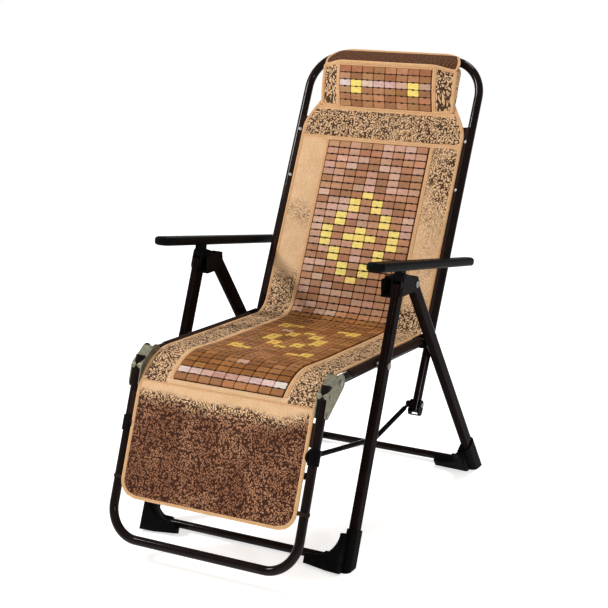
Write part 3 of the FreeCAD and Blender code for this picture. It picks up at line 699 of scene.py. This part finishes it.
def face_level(x, s):
    """The mat's upper face: flat under the tiles, softly padded elsewhere."""
    wide = half_width(s)
    size = abs(x)
    in_field = field_start - 0.006 < s < field_end + 0.004
    if in_field and size <= field_half:
        return mat_face - 0.0004
    if in_field:
        swell = puff((size - strip_half) / max(wide - strip_half, 0.001), height=0.0024, power=0.7)
    elif s < header_start:
        swell = 0.0
    elif s < field_start:
        start = header_start + 0.006
        swell = puff((s - start) / (header_end - start), height=0.0034, power=0.6)
        swell *= smooth((wide - size) / 0.03)
    else:
        swell = puff((s - seam) / (line.end - seam), height=0.0030, power=0.5)
        swell *= smooth((wide - size) / 0.04)
    edge = smooth((wide - size) / 0.008)
    wander = noise.noise(Vector((x * 14, s * 14, 3.0))) * 0.0007
    return mat_face - 0.0016 * (1 - edge) + swell + wander * edge


def zone(x, s):
    """Which finish a patch of the mat has."""
    if field_start - 0.001 < s < field_end + 0.002:
        if abs(x) < field_half:
            return BED
        if abs(x) < strip_half:
            return BINDING
    return JACQUARD


def stations(first, last, gap):
    """Places down the mat's line from first to last, with the changes of finish among them."""
    marks = [first, last]
    marks += [m for m in (header_start, header_end, field_start, field_end + 0.001, seam) if first < m < last]
    marks.sort()
    places = []
    for a, b in zip(marks, marks[1:]):
        count = max(1, round((b - a) / gap))
        places += [mix(a, b, i / count) for i in range(count)]
    return places + [last]


def mat_length(first, last, gap, closing):
    """One length of the mat with its bindings; the closing one is bound round its rounded end too."""
    build = Build()
    places = stations(first, last, gap)
    tops, unders = [], []
    for s in places:
        xs = columns(s)
        tops.append([build.corner(line.at(x, s, face_level(x, s)), (x, s, figure_and_painted_light(x, s))) for x in xs])
        unders.append([build.corner(line.at(x, s, mat_under), (x, s, 0.3)) for x in xs])

    def slot(row, column):
        xs = columns(places[row])
        return zone((xs[column] + xs[column + 1]) / 2, (places[row] + places[row + 1]) / 2)

    slab(build, tops, unders, slot)
    right = [(half_width(s), s) for s in places]
    if closing:
        flat = half_width(line.end)
        right += [(flat * (1 - i / 20), line.end) for i in range(1, 20)]
        bind(build, right + [(0.0, line.end)] + [(-x, s) for x, s in reversed(right)])
    else:
        bind(build, [(-x, s) for x, s in right])
        bind(build, right)
    low = max(first, field_start)
    high = min(last, field_end)
    if high - low > 0.002:
        inner = [s for s in places if low - 1e-6 <= s <= high + 1e-6]
        for x in (-(field_half + strip_half) / 2, (field_half + strip_half) / 2):
            sewn_tape(build, [(x, s) for s in inner], across=0.0054, thick=0.0012)
    return build


def bind(build, places):
    """Binding folded round the mat's edge."""
    level = (mat_under + mat_face) / 2
    path = [line.at(x, s, level) for x, s in places]
    outs = [line.out(s) for x, s in places]
    tape(build, path, outs, across=0.0048, thick=0.0034, slot=BINDING, ribs=12)


def sewn_tape(build, places, across, thick):
    """A tape sewn flat on the mat's face."""
    path = [line.at(x, s, face_level(x, s) + 0.0004) for x, s in places]
    tape(build, path, [line.out(s) for x, s in places], across, thick, BINDING, ribs=8)


def cross_tape(build, s, wide, across):
    """A tape sewn straight across the mat."""
    sewn_tape(build, [(wide * (i / 30 - 1), s) for i in range(61)], across, thick=0.0014)


def mat_cut(first, last):
    """The flat width, length and area of a length of the mat."""
    count = 60
    widths = [2 * half_width(mix(first, last, (i + 0.5) / count)) for i in range(count)]
    return (2 * mat_half, last - first), sum(widths) * (last - first) / count


mat_lengths = [
    ("mat_back", 0.0, line.back_end, 0.006, ("back",), "back_mat"),
    ("mat_crease_upper", line.back_end, line.crease, 0.003, ("back_pins", "back"), "back_crease_mat"),
    ("mat_crease_lower", line.crease, line.seat_start, 0.003, ("seat", "back_pins"), "seat_crease_mat"),
    ("mat_seat", line.seat_start, line.knee_start, 0.006, ("seat",), "seat_mat"),
    ("mat_knee_upper", line.knee_start, line.knee, 0.003, ("seat", "knee_pin_set"), "seat_knee_mat"),
    ("mat_knee_lower", line.knee, line.knee_end, 0.003, ("knee_pin_set", "footrest"), "footrest_knee_mat"),
    ("mat_flap", line.knee_end, line.end, 0.005, ("footrest",), "footrest_mat"),
]


def follow(piece, first, last, bodies):
    """Rides on one body; a piece between two bodies only has its two ends found, down the mat on the seat's side
    and up it on the back's, and its transform baked in.
    """
    if len(bodies) == 1:
        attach(piece, bodies[0])
        return
    ends = [line.at(0, first, tile_level), line.at(0, last, tile_level)]
    if bodies == ("back_pins", "back") or bodies == ("seat", "back_pins"):
        ends.reverse()
    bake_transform(piece)


def make_mat():
    made = []
    for name, first, last, gap, bodies, stands_for in mat_lengths:
        build = mat_length(first, last, gap, closing=name == "mat_flap")
        if name == "mat_back":
            cross_tape(build, header_start + 0.005, half_width(header_start) - 0.004, across=0.006)
            cross_tape(build, (header_end + field_start) / 2, mat_half - 0.004, across=0.0062)
        if name == "mat_knee_lower":
            cross_tape(build, seam, mat_half - 0.004, across=0.0024)
        piece = build.object(name, mat_finishes)
        follow(piece, first, last, bodies)
        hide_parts(stands_for)
        made.append((piece, first, last))
    return made


# The tiles

CORD = 1
tile_finishes = [bamboo, cord]
lozenge_row = 13
ring_row = 37
brown_tones = [rgb(174, 121, 84), rgb(182, 129, 91), rgb(165, 112, 74), rgb(188, 137, 99), rgb(157, 105, 68)]
# painted reflection: pinkish copies of the tile tones that stand in for light mirrored off the lacquer
painted_sheen_tones = [rgb(198, 154, 130), rgb(190, 144, 118), rgb(207, 166, 144)]
# painted shade: darker, more golden copies of the tile tones for the seat, where light falls at a grazing angle on
# the same bamboo
seat_shaded_tones = [rgb(150, 98, 50), rgb(142, 90, 42), rgb(160, 106, 58), rgb(134, 84, 40), rgb(168, 112, 64)]
gold = rgb(246, 222, 120)[:3]
# painted shade: a darker, more orange copy of the gold for the seat's figure
seat_shaded_gold = rgb(232, 190, 92)[:3]
# painted highlight: the two ends of the range of the glint tiles' colours
highlight_white = rgb(228, 204, 194)[:3]
highlight_blush = rgb(186, 140, 118)[:3]


def gold_on_back(row, column):
    """A plain stepped lozenge in the middle of the back."""
    down = abs(row - lozenge_row)
    over = abs(column - tile_columns // 2)
    ring = down <= 6 and over == 3 - down // 2
    heart = down + over <= 1
    return ring or heart


def gold_on_seat(row, column):
    """A stepped ring on the seat with a mark at each corner."""
    down = abs(row - ring_row)
    over = abs(column - tile_columns // 2)
    ring = down <= 4 and over == 2 - down // 2
    mark = (down == 7 and over in (2, 3)) or (down == 6 and over == 3)
    return ring or mark


def glint(rng, share):
    """A tile painted as a highlight, light caught on its lacquer: from blushed brown at 0 to nearly white at 1."""
    return tuple(mix(a, b, share) * rng.uniform(0.9, 1.05) for a, b in zip(highlight_blush, highlight_white))


def tint(rng, row, column):
    if gold_on_back(row, column):
        return tuple(v * rng.uniform(0.93, 1.02) for v in gold)
    # the seat's gold tiles take the darker gold copy, as painted shade
    if gold_on_seat(row, column):
        return tuple(v * rng.uniform(0.93, 1.02) for v in seat_shaded_gold)
    # painted highlight: the second row from the flap's end, whitest at both ends of the row
    if row == tile_rows - 2:
        return glint(rng, abs(column - 3.5) / 4)
    on_seat = field_start + row * row_step > line.crease
    # painted reflection: sheen tiles are likeliest in the back's top rows and low-numbered columns, and almost
    # absent on the seat
    light = 0.01 if on_seat else 0.46 - 0.008 * row + 0.05 * (4 - column)
    tones = painted_sheen_tones if rng.random() < light else seat_shaded_tones if on_seat else brown_tones
    tone = rng.choice(tones)[:3]
    return tuple(v * rng.uniform(0.95, 1.06) for v in tone)


tile_groups = {
    "mat_back": "back_tiles",
    "mat_seat": "seat_tiles",
}


def make_tiles():
    rng = random.Random(11)
    noise.seed_set(5)
    builds = {name: Build() for name, *rest in mat_lengths}
    for row in range(tile_rows):
        s = field_start + (row + 0.5) * row_step
        gap = s + row_step / 2
        ahead = line.ahead(s)
        build = next(builds[name] for name, first, last, *rest in mat_lengths if first <= s < last)
        for column in range(tile_columns):
            x = (column - tile_columns // 2) * column_pitch
            side = (line.at(x + 0.01, s, mat_face) - line.at(x - 0.01, s, mat_face)).normalized()
            centre = line.at(x + rng.uniform(-0.0003, 0.0003), s, mat_face + rng.uniform(-0.0002, 0.0003))
            tone = tint(rng, row, column)
            tile(build, centre, side, ahead, ahead.cross(side), tile_length, row_step - row_gap, tone)
            if row < tile_rows - 1:
                knot(build, line.at(x, gap, mat_face + knot_level), side, line.ahead(gap), line.out(gap))
    made = []
    for name, first, last, gap, bodies, stands_for in mat_lengths:
        build = builds[name]
        if not build.faces:
            continue
        piece = build.object(name.replace("mat_", "tiles_"), tile_finishes)
        follow(piece, first, last, bodies)
        if name in tile_groups:
            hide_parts(tile_groups[name])
        made.append((name, piece))
    return made


# The head roll

roll_half = 0.189
roll_foot = (0.577, 0.0112)
roll_crest = (0.686, 0.0620)
roll_rear = (0.701, 0.0150)
roll_bulge = 0.0115
roll_even = 0.128
roll_end_height = 0.92
roll_end_depth = 0.56
roll_middle = (0.651, 0.030)
roll_columns = 8
roll_rows = 6
roll_pitch = 0.0329
roll_field = roll_columns * roll_pitch / 2
roll_run = Vector((roll_foot[0] - roll_crest[0], roll_foot[1] - roll_crest[1])).normalized()


def roll_face(t):
    """A point down the roll's front face in the back's plane: t runs from its crest to its foot."""
    u = mix(roll_crest[0], roll_foot[0], t)
    n = mix(roll_crest[1], roll_foot[1], t)
    swell = roll_bulge * math.sin(math.pi * t) ** 0.85
    return u - roll_run.y * swell, n - roll_run.x * swell


def drawn_in(x, u, n):
    """The roll's section gets thinner and softer towards its two ends."""
    near_end = smooth((abs(x) - roll_even) / (roll_half - roll_even))
    end_u = mix(roll_middle[0], u, roll_end_height)
    end_n = mix(roll_foot[1], n, roll_end_depth)
    return mix(u, end_u, near_end), mix(n, end_n, near_end)


def roll_section():
    """The roll's section as (u, n): front face, foot and back, then up round the crown."""
    crown = 0.006
    points = [roll_face(i / 16) for i in range(17)]
    for i in range(1, 9):
        points.append((mix(roll_foot[0], roll_rear[0], i / 8), mix(roll_foot[1], roll_rear[1], i / 8)))
    for i in range(1, 8):
        lift = crown * math.sin(math.pi * i / 8)
        u = mix(roll_rear[0], roll_crest[0], i / 8) + lift
        points.append((u, mix(roll_rear[1], roll_crest[1], i / 8)))
    return points


def make_roll():
    """The stuffed roll: its skin swells between its seams, and its tiles and tapes lie on the skin."""
    build = Build()
    section = roll_section()
    across = [roll_half * (i / 24 - 1) for i in range(49)]
    rows = []
    for x in across:
        strong = 1.0 if abs(x) > 0.14 else 0.2
        rows.append([build.corner(back.at(x, *drawn_in(x, u, n)), (x, n - u, strong)) for u, n in section])

    def patch(number, i):
        middle = (across[number] + across[number + 1]) / 2
        return BED if abs(middle) < roll_field and 1 <= i < 16 else JACQUARD

    build.strip(rows, patch, ring=True)
    for row, hand in ((rows[0], -1), (rows[-1], 1)):
        rings = [row]
        for shrink, bulge in ((0.75, 0.004), (0.45, 0.007), (0.18, 0.008)):
            ring = []
            for corner in row:
                base = build.points[corner]
                hub = back.at(base.x, *drawn_in(base.x, *roll_middle))
                place = hub.lerp(base, shrink) + Vector((hand * bulge, 0, 0))
                ring.append(build.corner(place, (place.z, place.y, 0.7)))
            rings.append(ring)
        build.strip(rings, JACQUARD, ring=True)
        build.face(rings[-1], JACQUARD)
    piece = build.object("head_roll", mat_finishes)
    held = piece.vertex_groups.new(name="seams")
    seams = [rows[0], rows[-1]] + [[row[k] for row in rows] for k in (0, *range(16, 25))]
    held.add(sorted({corner for ring in seams for corner in ring}), 1.0, "REPLACE")
    swell(piece, pressure=3.0, reach=0.006)
    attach(piece, "back")
    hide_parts("pillow")
    return piece


def swell(piece, pressure, reach):
    """Stuffs the cloth from inside with its seams held, and keeps each point within reach of where it was."""
    rest = [v.co.copy() for v in piece.data.vertices]
    stuffing = piece.modifiers.new("stuffing", "CLOTH")
    stuffing.settings.use_pressure = True
    stuffing.settings.uniform_pressure_force = pressure
    stuffing.settings.vertex_group_mass = "seams"
    stuffing.settings.effector_weights.gravity = 0
    scene = bpy.context.scene
    for number in range(1, 21):
        scene.frame_set(number)
    shape = piece.evaluated_get(bpy.context.evaluated_depsgraph_get()).to_mesh()
    moved = [v.co.copy() for v in shape.vertices]
    piece.modifiers.remove(stuffing)
    scene.frame_set(1)
    for vertex, before, after in zip(piece.data.vertices, rest, moved):
        step = after - before
        vertex.co = before + step * min(1.0, reach / max(step.length, 1e-6))
    piece.data.update()


class Skin:
    """Finds places on the roll's skin, looking at it from in front."""

    clear = 0.06

    def __init__(self, piece):
        shape = piece.data
        self.tree = BVHTree.FromPolygons([v.co for v in shape.vertices], [p.vertices for p in shape.polygons])
        self.out = (back.out * -roll_run.x + back.along * roll_run.y).normalized()

    def at(self, x, t):
        u, n = roll_face(t)
        start = back.at(x, u, n) + self.out * self.clear
        place, normal, index, reach = self.tree.ray_cast(start, -self.out)
        if place is None:
            return back.at(x, u, n), self.out
        return place, normal if normal.dot(self.out) > 0 else -normal

    def lane(self, x, first, last):
        return Lane([self.at(x, mix(first, last, i / 40))[0] for i in range(41)])


class Lane:
    """A line down the roll's skin, measured along the skin itself."""

    span = 0.008

    def __init__(self, points):
        self.points = points
        self.reach = [0.0]
        for a, b in zip(points, points[1:]):
            self.reach.append(self.reach[-1] + (b - a).length)
        self.length = self.reach[-1]

    def spot(self, reach):
        i = next((k for k in range(1, len(self.points) - 1) if self.reach[k] >= reach), len(self.points) - 1)
        share = (reach - self.reach[i - 1]) / (self.reach[i] - self.reach[i - 1])
        return self.points[i - 1].lerp(self.points[i], share)

    def at(self, reach):
        """A place on the lane, the way down it and the way out of it."""
        ahead = (self.spot(reach + self.span) - self.spot(reach - self.span)).normalized()
        return self.spot(reach), ahead, ahead.cross(Vector((1, 0, 0))).normalized()


def make_roll_tiles(skin):
    """Eight columns and six rows of tiles, the third row a painted highlight, two pairs gold."""
    rng = random.Random(23)
    build = Build()
    side = Vector((1, 0, 0))
    sink = 0.0006
    knot_lift = 0.0028
    for column in range(roll_columns):
        lane = skin.lane((column - (roll_columns - 1) / 2) * roll_pitch, first=0.09, last=0.965)
        pitch = lane.length / roll_rows
        for row in range(roll_rows):
            place, ahead, out = lane.at((row + 0.5) * pitch)
            tone = tuple(v * rng.uniform(0.9, 1.05) for v in rng.choice(brown_tones)[:3])
            # painted highlight: the third row of the roll, whitest in its first column
            if row == 2:
                tone = glint(rng, 1 - column / 8)
            if row in (2, 3) and column in (1, 6):
                tone = gold
            tile(build, place - out * sink, side, ahead, out, roll_pitch - 0.0018, pitch - 0.0016, tone)
            if row < roll_rows - 1:
                place, ahead, out = lane.at((row + 1) * pitch)
                knot(build, place + out * knot_lift, side, ahead, out)
    piece = build.fit("tiles_head_roll", tile_finishes, "back")
    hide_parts("pillow_tiles")


def make_roll_tapes(skin):
    """Beige tapes on the head roll: beside its tiles, round its front panel and along its crest."""
    build = Build()
    edge = roll_half - 0.001
    downs = [i / 30 for i in range(31)]
    shares = [i / 30 - 1 for i in range(61)]
    for hand in (-1, 1):
        beside = [skin.at(hand * (roll_field + 0.0065), mix(0.03, 0.97, t)) for t in downs]
        tape(build, *zip(*beside), across=0.0058, thick=0.0014, ribs=8)
        rim = [back.at(hand * edge, *drawn_in(roll_half, *roll_face(t))) for t in downs]
        tape(build, rim, [skin.out] * len(rim), across=0.0052, thick=0.0034)
    for t, across in ((0.0, 0.0052), (1.0, 0.0050)):
        u, n = roll_face(t)
        path = [back.at(edge * share, *drawn_in(edge * share, u, n + 0.0008)) for share in shares]
        tape(build, path, [skin.out] * len(path), across, thick=0.0034)
    crest = [skin.at(roll_field * share, 0.055) for share in shares]
    tape(build, *zip(*crest), across=0.0044, thick=0.0012, ribs=8)
    build.fit("head_roll_tapes", [binding], "back")


# The pocket over the top bar

pocket_half = 0.172
bar_up = 0.726
bar_bend = 0.095


def bar_at(x):
    """How far up the back the top bar's axis runs: level, then down round its bends."""
    past = max(0.0, abs(x) - (tube_plane - bar_bend))
    return bar_up - bar_bend + math.sqrt(bar_bend ** 2 - min(past, bar_bend) ** 2)


def make_pocket():
    """A dark sheet from the roll's crest, over the top bar and down behind it."""
    build = Build()
    radius = tube_radius + 0.0014
    hang = 0.075
    path = []
    for i in range(9):
        sag = 0.0020 * math.sin(math.pi * i / 8)
        path.append((mix(roll_crest[0] + 0.002, bar_up + radius * 0.77, i / 8) + sag,
                     mix(roll_crest[1] - 0.001, radius * 0.64, i / 8) + sag))
    for degrees in range(40, -93, -12):
        angle = math.radians(degrees)
        path.append((bar_up + radius * math.cos(angle), radius * math.sin(angle)))
    path += [(bar_up - hang * i / 6, -radius - 0.0006 * math.sin(i)) for i in range(1, 7)]
    path = [Vector(point) for point in path]
    xs = [pocket_half * (i / 20 - 1) for i in range(41)]
    tops, unders = [], []
    run = 0.0
    for i, (u, n) in enumerate(path):
        ahead = ahead_of(path, i).normalized()
        run += (path[i] - path[max(i - 1, 0)]).length
        on_bar = min(1.0, i / 8)
        round_end = 0.009 * math.sin(math.pi * on_bar)
        wide = (mix(roll_half - 0.004, pocket_half, on_bar) + round_end) / pocket_half
        top, under = [], []
        for x in xs:
            ripple = 0.0008 * noise.noise(Vector((x * 18, run * 30, 1.0)))
            soft = drawn_in(x * wide, u, n)
            up = mix(soft[0], u + bar_at(x * wide) - bar_up, on_bar)
            off = mix(soft[1], n, on_bar)
            for row, lift in ((top, 0.0009 + ripple), (under, -0.0007)):
                place = back.at(x * wide, up + ahead.y * lift, off - ahead.x * lift)
                row.append(build.corner(place, (x, run, 1)))
        tops.append(top)
        unders.append(under)
    slab(build, tops, unders)
    ends = [[build.points[top[end]] for top in tops[:10]] for end in (0, -1)]
    piece = build.fit("top_pocket_cloth", [pocket_cloth], "back")
    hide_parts("top_pocket")
    pocket_trim(ends)


def pocket_trim(ends):
    """Beige piping over the top bar and down to the mat's own binding, and tape on the pocket's ends."""
    build = Build()
    for end in ends:
        tape(build, end, [back.along + back.out * 0.5] * len(end), across=0.0042, thick=0.0026)
    radius = tube_radius + 0.0030
    half = [Vector((x, bar_at(x) + radius, 0.0010)) for x in (0.0, 0.110, 0.140)]
    half += [Vector((pocket_half - 0.006, bar_at(pocket_half) + radius - 0.003, 0.0030)),
             Vector((pocket_half + 0.003, bar_at(pocket_half) + 0.002, 0.0080)),
             Vector((neck_half, bar_up - 0.012, 0.0100)), Vector((neck_half, mat_top - 0.004, 0.0088))]
    fine = [a.lerp(b, i / 10) for a, b in zip(half, half[1:]) for i in range(10)] + half[-1:]
    for turn in range(6):
        eased = [(a + b * 2 + c) / 4 for a, b, c in zip(fine, fine[1:], fine[2:])]
        fine = fine[:1] + eased + fine[-1:]
    loop = [(-x, u, n) for x, u, n in reversed(fine)] + fine[1:]
    outs = [back.out + back.along * 0.4] * len(loop)
    tape(build, [back.at(*p) for p in loop], outs, across=0.0046, thick=0.0034)
    return build.fit("top_pocket_piping", [binding], "back")


# The slings under the mat

def sling_profile(lap):
    """Across a sling, from where its lap starts on one tube, over it and on to the other."""
    radius = tube_radius + 0.0012
    half = []
    for step in range(9):
        angle = math.radians(mix(lap, 110, step / 8))
        half.append((tube_plane + radius * math.cos(angle), radius * math.sin(angle)))
    half += [(tube_plane - 0.0085, 0.0092), (tube_plane - 0.0125, 0.0070), (tube_plane - 0.018, sling_level)]
    half += [(0.205, sling_level), (0.15, sling_level - 0.0006), (0.075, sling_level - 0.0012)]
    points = half + [(0.0, sling_level - 0.0014)] + [(-x, n) for x, n in reversed(half)]
    return [Vector(point) for point in points]


def make_sling(body, plane, low, high, lap, down_mat):
    """Cloth stretched between two tubes; down_mat gives the place on the mat that lies over a height."""
    build = Build()
    profile = sling_profile(lap)
    count = round((high - low) / 0.012)
    thick = 0.0007
    sides = []
    for i in range(len(profile)):
        ahead = ahead_of(profile, i)
        sides.append(Vector((ahead.y, -ahead.x)).normalized())
    width = [0.0]
    for a, b in zip(profile, profile[1:]):
        width.append(width[-1] + (b - a).length)
    tops, unders = [], []
    for i in range(count + 1):
        u = mix(low, high, i / count)
        for rows, lift in ((tops, thick), (unders, -thick)):
            row = []
            for (x, n), side, across in zip(profile, sides, width):
                level = n + side.y * lift - line.dip(x, down_mat(u))
                row.append(build.corner(plane.at(x + side.x * lift, u, level), (across, u, 1)))
            rows.append(row)
    slab(build, tops, unders)
    piece = build.fit(body + "_sling_cloth", [sling_cloth], body)
    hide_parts(body + "_sling")


# Small metalwork

def make_screws():
    """Dome-headed screws on the back tubes."""
    build = Build()
    lean = math.radians(32)
    heights = (0.509, 0.381)
    dome = ((0.0048, -0.0006), (0.0048, 0.0006), (0.0038, 0.0018), (0.0020, 0.0024))
    turns = [math.pi * k / 10 for k in range(20)]
    for hand in (-1, 1):
        for u in heights:
            out = (back.out * math.cos(lean) + Vector((-hand, 0, 0)) * math.sin(lean)).normalized()
            base = back.at(hand * tube_plane, u, 0) + out * (tube_radius + 0.0012)
            side = out.cross(back.along).normalized()
            spokes = [side * math.cos(turn) + back.along * math.sin(turn) for turn in turns]
            rows = []
            for reach, lift in dome:
                rows.append([build.corner(base + out * lift + spoke * reach) for spoke in spokes])
            build.solid(rows, crisp=False)
    build.fit("sling_screws", [screw_steel], "back")


def make_straps():
    """Short elastic loops that hold the mat's lower corners to the footrest tubes."""
    build = Build()
    height = -0.272
    radius = tube_radius + 0.0010
    loop = [(0.206, 0.0056), (0.222, 0.0075)]
    for degrees in range(110, -121, -10):
        angle = math.radians(degrees)
        loop.append((tube_plane + radius * math.cos(angle), radius * math.sin(angle)))
    loop += [(0.222, 0.0012), (0.206, 0.0030)]
    for hand in (-1, 1):
        points = [footrest.at(hand * x, height, n) for x, n in loop]
        outs = [ahead_of(points, i).cross(footrest.along).normalized() * hand for i in range(len(points))]
        tape(build, points, outs, across=0.0045, thick=0.0007, ribs=8)
    build.fit("corner_straps", [sling_cloth], "footrest")


def boot_outline():
    """A foot's inner gusset as (inward from the leg, up the leg): a hollow sweep on top, the sole below."""
    reach = 0.064
    rise = 0.060
    bar = 0.0145
    points = [(-0.012, bar + rise)]
    for step in range(13):
        turn = math.radians(90 - 7.5 * step)
        points.append((reach * (1 - math.sin(turn)), bar + rise * (1 - math.cos(turn))))
    return points + [(0.084, 0.0122), (0.084, -0.0112), (0.052, -0.0146), (0.024, -0.0176), (-0.012, -0.0180)]


def shrunk(outline, by):
    """The outline drawn in by a distance all round."""
    made = []
    for i, (p, q) in enumerate(outline):
        ahead = (Vector(outline[(i + 1) % len(outline)]) - Vector(outline[i - 1])).normalized()
        made.append((p + ahead.y * by, q - ahead.x * by))
    return made


def make_boots(name, foot_y, lean, body):
    """The moulded webs that sweep from each leg to its cross tube."""
    build = Build()
    angle = math.radians(90 - lean)
    up = Vector((0, math.cos(angle), math.sin(angle)))
    over = Vector((0, -up.z, up.y))
    bar_height = 0.016
    leg_inside = 0.260
    thick = 0.0205
    thin = 0.0126
    floor_gap = 0.0004
    base = Vector((0, foot_y + bar_height * up.y / up.z, bar_height))
    outline = boot_outline()
    layers = ((0.004, -1.0), (0.001, -0.88), (0.0, -0.5), (0.0, 0.5), (0.001, 0.88), (0.004, 1.0))
    for hand in (-1, 1):
        rings = []
        for inset, share in layers:
            ring = []
            for p, q in shrunk(outline, inset):
                depth = share * mix(thick, thin, smooth((p + 0.004) / 0.05))
                place = base + Vector((hand * (leg_inside - p), 0, 0)) + up * q + over * depth
                place.z = max(place.z, floor_gap)
                ring.append(build.corner(place))
            rings.append(ring)
        build.solid(rings)
    build.fit(name, [finishes["foot_plastic"]], body)


def make_rod_sleeves():
    """Black sleeves over the two bent link rods."""
    build = Build()
    rod_plane = 0.226
    radius = 0.0060
    bend = 0.017
    sag = Vector((0, 0, 0.042))
    rear = pivot["rod_swing"]
    front = pivot["knee_pin_turn"] + rear - pivot["back_recline"]
    low = rear.lerp(front, 0.38) - sag
    start = low + (rear - low).normalized() * bend
    end = low + (front - low).normalized() * bend
    path = [rear.lerp(start, mix(0.15, 1.0, i / 12)) for i in range(13)]
    path += [start.lerp(low, t).lerp(low.lerp(end, t), t) for t in (0.2, 0.4, 0.6, 0.8)]
    path += [end.lerp(front, mix(0.0, 0.92, i / 16)) for i in range(17)]
    for hand in (-1, 1):
        points = [Vector((hand * rod_plane, p.y, p.z)) for p in path]
        tape(build, points, [Vector((1, 0, 0))] * len(points), radius, radius, ribs=14)
    build.fit("rod_sleeves", [finishes["dark_steel"]], "link_rods")


# Studio

def make_studio():
    mesh = bpy.data.meshes.new("studio_floor")
    reach = 70.0
    level = -0.0008
    corners = [(x * reach, y * reach, level) for x, y in ((-1, -1), (1, -1), (1, 1), (-1, 1))]
    mesh.from_pydata(corners, [], [(0, 1, 2, 3)])
    mesh.materials.append(floor_finish())
    floor = bpy.data.objects.new("studio_floor", mesh)
    bpy.context.scene.collection.objects.link(floor)
    world = bpy.data.worlds.new("studio")
    world.use_nodes = True
    sky = world.node_tree.nodes["Background"].inputs
    sky["Color"].default_value = (1.0, 0.99, 0.98, 1.0)
    sky["Strength"].default_value = 0.42
    bpy.context.scene.world = world
    lamps = [
        ("key", (-2.6, -1.9, 3.1), 0.6, 104.0),
        ("fill", (2.9, -2.2, 1.7), 0.5, 22.0),
        ("top", (0.4, 1.4, 3.4), 0.8, 36.0),
    ]
    for name, place, size, power in lamps:
        lamp = bpy.data.lights.new(name, "AREA")
        lamp.energy = power
        lamp.size = size
        lamp.shape = "SQUARE"
        holder = bpy.data.objects.new(name, lamp)
        holder.location = place
        holder.rotation_euler = (Vector((0, 0, 0.5)) - Vector(place)).to_track_quat("-Z", "Y").to_euler()
        bpy.context.scene.collection.objects.link(holder)
    bpy.context.scene.view_settings.view_transform = "Standard"


def make_camera():
    azimuth = math.radians(28.68)
    height = math.radians(14.80)
    aim = Vector((-0.0233, 0.02955, 0.5135))
    distance = 3.831
    level = math.cos(height)
    away = Vector((math.sin(azimuth) * level, -math.cos(azimuth) * level, math.sin(height)))
    lens = bpy.data.cameras.new("camera")
    lens.lens = 91.5
    lens.sensor_width = 36.0
    camera = bpy.data.objects.new("camera", lens)
    camera.location = aim + away * distance
    camera.rotation_euler = (-away).to_track_quat("-Z", "Y").to_euler()
    bpy.context.scene.collection.objects.link(camera)
    bpy.context.scene.camera = camera


make_camera()
make_studio()
dress_frame()
mat = make_mat()
tiles = dict(make_tiles())
for piece, first, last in mat:
    cut, area = mat_cut(first, last)
    with_tiles = [tiles[piece.name]] if piece.name in tiles else []
roll = make_roll()
skin = Skin(roll)
make_roll_tiles(skin)
make_roll_tapes(skin)
make_pocket()
make_sling("back", back, low=0.052, high=0.548, lap=100, down_mat=lambda u: mat_top - u)
make_sling("seat", seat, low=-0.450, high=-0.060, lap=0,
           down_mat=lambda u: line.knee_start + knee_start - u)
make_sling("footrest", footrest, low=-0.126, high=-0.072, lap=100, down_mat=lambda u: line.end)
make_screws()
make_straps()
make_boots("front_foot_webs", foot_y=-0.3347, lean=22.1, body="front_frame")
make_boots("rear_foot_webs", foot_y=0.4190, lean=-35.4, body="rear_frame")
make_rod_sleeves()
